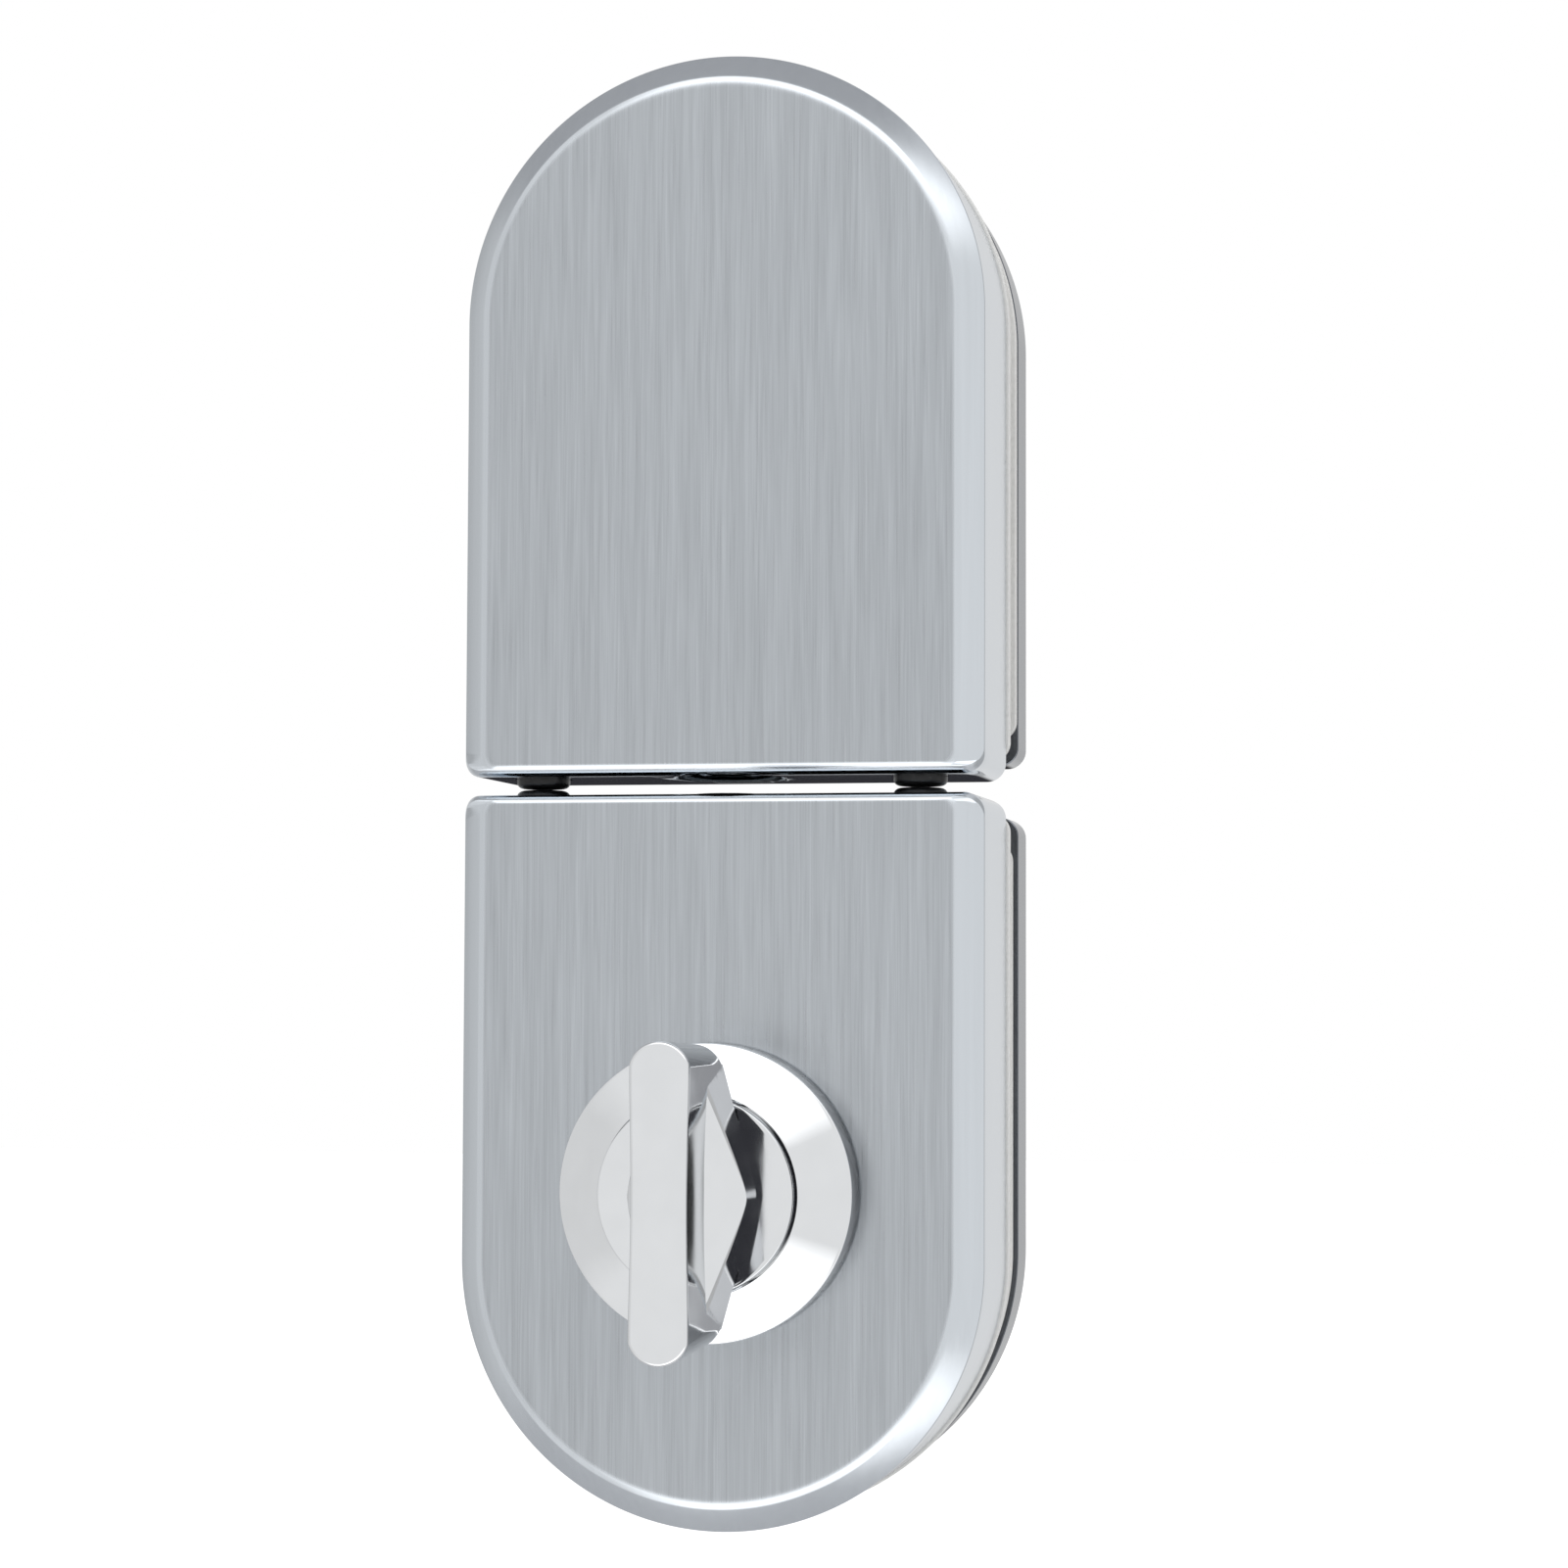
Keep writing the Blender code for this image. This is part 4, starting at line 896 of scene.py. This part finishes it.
class LOCK_OT_gaskets(bpy.types.Operator):
    """Four gasket sheets, two to each leaf."""

    bl_idname = "lock.gaskets"
    bl_label = "Gaskets"

    def execute(self, context):
        # How far inside the half's outline each sheet lies, at the sides and at the gap
        insets = {
            "strike_front_gasket": (-0.0004, 0.0027),
            "strike_rear_gasket": (0.0001, 0.0060),
            "lock_front_gasket": (-0.0004, 0.0014),
            "lock_rear_gasket": (0.0006, 0.0047),
        }
        soft = 0.0002
        margin = 0.002
        screw_hole = 0.0029
        for node, (inset, end_inset) in insets.items():
            half = node.split("_")[0]
            near = low(node, "Y") - FACE
            far = high(node, "Y") - FACE
            loops = [outline(inset + margin, end_inset + margin, SMALL_CORNER, near)]
            edge = arc(soft, near, 0.0, near + soft, 0, 4) + arc(0.0, far - soft, soft, far, 1, 4)
            for radius, depth in edge:
                loops.append(outline(inset + radius, end_inset + radius, CORNER - radius, depth))
            loops.append(outline(inset + margin, end_inset + margin, SMALL_CORNER, far))
            sheet = solid(node + "_sheet", place(np.array(loops), half))
            hole = [(screw_hole, near - PAST), (screw_hole, far + PAST)]
            cutters = []
            for sign in (-1, 1):
                centre = (sign * SCREW_SPREAD, SCREW_RISE)
                cutters.append(revolve("hole", half, hole, "Y", centre, 48))
            if half == "lock":
                hole = [(COLLAR_BORE, near - PAST), (COLLAR_BORE, far + PAST)]
                cutters.append(revolve("hole", half, hole, "Y", (0.0, TURN_RISE), 96))
            carve(sheet, cutters)
            dress(sheet, "casing", "white_gasket", node)
        return {"FINISHED"}


class LOCK_OT_rosette(bpy.types.Operator):
    """The cone that the thumb-turn's disc sits in."""

    bl_idname = "lock.rosette"
    bl_label = "Rosette"

    def execute(self, context):
        radius = sizes().rosette_radius
        rest = -0.0003
        foot = -0.00065
        side = -0.0056
        top = -0.0096
        rim = 0.0123
        rim_edge = 0.00005
        seat = -0.0090
        bore = 0.0063
        neck = 0.0080
        neck_end = high("rosette", "Y") - FACE
        profile = [(neck, rest), (radius - 0.0006, rest), (radius - 0.0006, foot)]
        profile += arc(radius - 0.0001, foot, radius, foot - 0.0001, 0, 4)
        slope = (rim - radius) / (top - side)
        lead = 0.00014
        profile += arc(radius, side + lead, radius + slope * -lead, side - lead, 1, 6)
        for drop in (0.0003, 0.0005, side - top - 0.0003, side - top - 0.00015):
            profile.append((radius - slope * drop, side - drop))
        profile += [(rim + slope * rim_edge, top + rim_edge), (rim, top + 0.00002)]
        profile += [(rim - rim_edge, top + 0.0001), (rim - rim_edge, seat)]
        profile += [(bore, seat), (bore, neck_end), (neck, neck_end)]
        cone = revolve("rosette_cone", "lock", profile, "Y", (0.0, TURN_RISE), 192, hollow=True)
        dress(cone, "casing", "polished_chrome", "rosette", degrees=25)
        return {"FINISHED"}


def bar_depth(x, z, level):
    """How far a point is inside the thumb-turn's bar: negative inside, in metres.

    The bar is |x| < w, inside two end arcs, whose radius is a share of the
    width. From half the width, w shrinks by scoop (1 - (z / reach)^2)^1.5
    sin(0.9 pi up), where up goes from 0 at the disc to 1 at the bar's top. The
    ends lean in by lean (1 - up) towards the door.
    """
    size = sizes()
    up = np.clip(level / BAR_HEIGHT, 0, 1)
    run = np.clip(1 - (np.abs(z) / SCOOP_REACH) ** 2, 0, None) ** 1.5
    width = size.turn_width / 2 - BAR_SCOOP * run * np.sin(np.pi * up * 0.9)
    bend = END_BEND * size.turn_width
    end = size.turn_length / 2 - END_LEAN * (1 - up)
    beyond = np.clip(np.abs(z) - (end - bend), 0, None)
    return np.maximum(np.abs(x) - width, np.hypot(x, beyond) - bend)


def bar_loop(level, inset, count=288):
    """Outline of the bar at one level above the thumb-turn's disc.

    Rays leave the axis towards points spread evenly along a stadium, and the
    outline is where each ray crosses bar_depth = -inset, found by halving the
    stretch from the axis to a place well beyond the bar.
    """
    beyond, halvings, same_point = 0.03, 40, 1e-6
    size = sizes()
    half = size.turn_width / 2
    straight = size.turn_length / 2 - half
    quarter = count // 4
    share = np.linspace(0, 1, quarter, endpoint=False)
    length = straight + half * np.pi / 2
    along = share * length
    on_side = along < straight
    swing = (along - straight) / half
    x = np.where(on_side, half, half * np.cos(swing))
    z = np.where(on_side, along, straight + half * np.sin(swing))
    x = np.concatenate((x, -x[::-1], -x, x[::-1]))
    z = np.concatenate((z, z[::-1], -z, -z[::-1]))
    reach = np.hypot(x, z)
    keep = np.concatenate(([True], np.hypot(np.diff(x), np.diff(z)) > same_point))
    x, z, reach = x[keep] / reach[keep], z[keep] / reach[keep], reach[keep]
    near = np.zeros_like(reach)
    far = np.full_like(reach, beyond)
    for _ in range(halvings):
        halfway = (near + far) / 2
        inside = bar_depth(x * halfway, z * halfway, level) < -inset
        near = np.where(inside, halfway, near)
        far = np.where(inside, far, halfway)
    return x * near, z * near


def wedge_loop(level, reach=None):
    """Outline of the wedge under the bar, at one level above the disc.

    In plan each side is the least of three: the taper, hub - draft level -
    slope sqrt(z^2 + r^2), the facet, crest - fall level + tilt sqrt(z^2 + q^2),
    and a chamfer between them, their mean less a share of |z|. The points keep
    to one surface each, so that the creases are clean lines.
    """
    hub_round, facet_round = 0.0012, 0.0030
    chamfer_share = 0.015
    furthest = 0.03
    if reach is None:
        reach = (WEDGE_HUB - sizes().turn_width / 2) / WEDGE_SLOPE

    def taper(z):
        narrowed = WEDGE_HUB - WEDGE_DRAFT * (level - UNDERCUT)
        return narrowed - WEDGE_SLOPE * np.hypot(z, hub_round)

    def facet(z):
        return FACET_CREST - FACET_FALL * level + FACET_TILT * np.hypot(z, facet_round)

    fine = np.linspace(0, furthest, 601)
    over = taper(fine) - facet(fine)
    first = float(np.interp(0, 2 * chamfer_share * fine - over, fine))
    second = float(np.interp(0, -2 * chamfer_share * fine - over, fine))
    # The chamfer keeps a least width, and ends short of the wedge's tip
    first = min(max(first, 0.0004), 0.97 * reach)
    second = min(max(second, first + 0.0002), 0.985 * reach)
    share = np.linspace(0, 1, 21) ** 1.4
    outer = second + (reach - second) * share
    between = np.linspace(first, second, 7)[:-1]
    inner = np.linspace(-first, first, 25)[1:-1]
    z = np.concatenate((-outer[::-1], -between[::-1], inner, between, outer))
    chamfer = (taper(z) + facet(z)) / 2 - chamfer_share * np.abs(z)
    x = np.minimum(np.minimum(taper(z), facet(z)), chamfer)
    return np.concatenate((x, -x[::-1])), np.concatenate((z, z[::-1]))


class LOCK_OT_thumb_turn(bpy.types.Operator):
    """The thumb-turn: bar, wedge and disc, joined into one casting."""

    bl_idname = "lock.thumb_turn"
    bl_label = "Thumb-turn"

    def execute(self, context):
        bar = self.bar()
        carve(bar, [self.wedge(), self.disc()], "UNION")
        dress(bar, "thumb_turn", "polished_chrome", "turn_knob", degrees=24)
        return {"FINISHED"}

    def bar(self):
        """Outlines from the bar's under edge, past its scoop, to its top edge."""
        soft = 0.00022
        edge = 0.00045
        under = arc(soft, UNDERCUT, 0.0, UNDERCUT + soft, 0, 5)
        scoop = [(0.0, level) for level in np.linspace(UNDERCUT + 0.0006, BAR_HEIGHT - edge, 36)]
        over = arc(0.0, BAR_HEIGHT - edge, edge, BAR_HEIGHT, 1, 9)[1:]
        top = [(edge + 0.0003, BAR_HEIGHT), (edge + 0.0012, BAR_HEIGHT)]
        stops = under + scoop + over + top
        return self.stack("thumb_turn", [(level, bar_loop(level, inset)) for inset, level in stops])

    def wedge(self):
        """Outlines from below the disc's face, past the facets, into the bar.

        Up to the undercut the foot's half length grows with the square of the
        level, and the outlines are closest where the facets start.
        """
        foot, flare = 0.0088, 0.0022
        loops = [(-0.0012, wedge_loop(0.0, foot))]
        for level in np.linspace(0, UNDERCUT, 7).tolist():
            loops.append((level, wedge_loop(level, foot + flare * (level / UNDERCUT) ** 2)))
        rises = [UNDERCUT + 0.00002, 0.0015, 0.0028]
        rises += np.linspace(0.0036, 0.0046, 11).tolist()
        rises += np.linspace(0.0050, WEDGE_CROWN, 16).tolist()
        return self.stack("wedge", loops + [(level, wedge_loop(level)) for level in rises])

    def disc(self):
        """Disc, dished by 0.27 mm (1 - (r / R)^2), and neck with the clip's groove.

        Both ends close with a flat face inside the core's radius.
        """
        dished, rim, neck, groove, core = 0.01185, 0.0120, 0.0060, 0.0054, 0.0020
        back = DISC_FRONT + 0.0019
        neck_end = high("turn_knob", "Y") - FACE
        groove_start, groove_end = neck_end - 0.0017, neck_end - 0.0006
        radii = np.linspace(core, dished, 24)
        dish = DISC_FRONT + 0.00027 * (1 - (radii / dished) ** 2)
        profile = list(zip(radii.tolist(), dish.tolist()))
        profile += arc(dished, DISC_FRONT, rim, DISC_FRONT + 0.00015, 0, 5)[1:]
        profile += [(rim, back), (neck, back), (neck, groove_start), (groove, groove_start)]
        profile += [(groove, groove_end), (neck, groove_end), (neck, neck_end), (core, neck_end)]
        return revolve("disc", "lock", profile, "Y", (0.0, TURN_RISE), 192)

    def stack(self, name, levels):
        """A solid from (level above the disc, (x, z)) outlines."""
        loops = [
            np.stack((x, np.full_like(x, DISC_FRONT - level), z + TURN_RISE), axis=-1)
            for level, (x, z) in levels
        ]
        return solid(name, place(np.array(loops), "lock"))


class LOCK_OT_buffers(bpy.types.Operator):
    """Four rubber buffers in the gap ends."""

    bl_idname = "lock.buffers"
    bl_label = "Buffers"

    def execute(self, context):
        proud = -0.00124
        radius = 0.00335
        flange = radius + 0.0012
        flange_front, flange_back = 0.0016, 0.0028
        profile = [(0.0008, proud), (0.0018, proud + 0.00002)]
        profile += arc(0.0024, proud + 0.00006, radius, proud + 0.0008, 0, 9)
        profile += [(radius, flange_front), (flange, flange_front), (flange, flange_back)]
        for half in ("strike", "lock"):
            for hand, sign in (("left", -1), ("right", 1)):
                node = f"{half}_buffer_{hand}"
                centre = (sign * BUFFER_SPREAD, BOLT_DEPTH)
                dome = revolve(node + "_dome", half, profile, "Z", centre, 64)
                dress(dome, "casing", "black_rubber", node)
        return {"FINISHED"}


class LOCK_OT_key_side(bpy.types.Operator):
    """Cylinder and its collar on the far side."""

    bl_idname = "lock.key_side"
    bl_label = "Key side"

    def execute(self, context):
        axis = (0.0, TURN_RISE)
        near = low("cylinder_ring", "Y") - FACE
        far = high("cylinder_ring", "Y") - FACE
        outer, shoulder = 0.0126, near + 0.0006
        profile = [(COLLAR_BORE, near), (outer, near), (outer, shoulder)]
        profile += arc(outer, shoulder, outer - 0.0016, far - 0.0001, 1, 8)[1:]
        profile += [(COLLAR_BORE + 0.0006, far), (COLLAR_BORE, far - 0.0003)]
        ring = revolve("cylinder_collar", "lock", profile, "Y", axis, 160, hollow=True)
        dress(ring, "casing", "polished_chrome", "cylinder_ring")
        front = low("key_cylinder", "Y") - FACE
        back = high("key_cylinder", "Y") - FACE
        bore, wall, soft = 0.0063, 0.0085, 0.0005
        profile = [(bore, front), (wall, front), (wall, back - soft)]
        profile += arc(wall, back - soft, wall - soft, back, 1, 6)[1:]
        profile += [(bore + 0.0002, back), (bore, back - 0.0002)]
        tube = revolve("cylinder_tube", "lock", profile, "Y", axis, 128, hollow=True)
        dress(tube, "casing", "polished_chrome", "key_cylinder")
        return {"FINISHED"}


class LOCK_OT_inner_finishes(bpy.types.Operator):
    """Finishes of the CAD nodes that show as they are, such as the bolt."""

    bl_idname = "lock.inner_finishes"
    bl_label = "Inner finishes"

    def execute(self, context):
        slots = {part["node"]: part["material_slot"] for part in frame["record"]["subparts"]}
        for name, thing in NODES.items():
            if thing.hide_render:
                continue
            thing.data.materials.clear()
            thing.data.materials.append(finish(slots[name]))
        return {"FINISHED"}


class LOCK_PT_panel(bpy.types.Panel):
    """Lists the lock's sizes, colours and steps."""

    bl_idname = "LOCK_PT_panel"
    bl_label = "Glass door lock"
    bl_space_type = "VIEW_3D"
    bl_region_type = "UI"
    bl_category = "Lock"

    def draw(self, context):
        for group in (context.scene.lock_sizes, context.scene.lock_finishes):
            column = self.layout.column(align=True)
            for name in group.__annotations__:
                column.prop(group, name)
        for step in STEPS:
            self.layout.operator(step.bl_idname)


STEPS = (
    LOCK_OT_stage,
    LOCK_OT_covers,
    LOCK_OT_back_covers,
    LOCK_OT_gaskets,
    LOCK_OT_rosette,
    LOCK_OT_thumb_turn,
    LOCK_OT_buffers,
    LOCK_OT_key_side,
    LOCK_OT_inner_finishes,
)
CLASSES = (LockSizes, LockFinishes, *STEPS, LOCK_PT_panel)


def register():
    """Makes the classes known, and the two groups of settings."""
    for kind in CLASSES:
        bpy.utils.register_class(kind)
    bpy.types.Scene.lock_sizes = PointerProperty(type=LockSizes)
    bpy.types.Scene.lock_finishes = PointerProperty(type=LockFinishes)


def unregister():
    """Takes back what register made known."""
    del bpy.types.Scene.lock_finishes
    del bpy.types.Scene.lock_sizes
    for kind in reversed(CLASSES):
        bpy.utils.unregister_class(kind)


def main():
    """Builds the stage and every piece."""
    register()
    bpy.ops.lock.stage()
    bpy.ops.lock.covers()
    bpy.ops.lock.back_covers()
    bpy.ops.lock.gaskets()
    bpy.ops.lock.rosette()
    bpy.ops.lock.thumb_turn()
    bpy.ops.lock.buffers()
    bpy.ops.lock.key_side()
    bpy.ops.lock.inner_finishes()


if __name__ == "__main__":
    main()
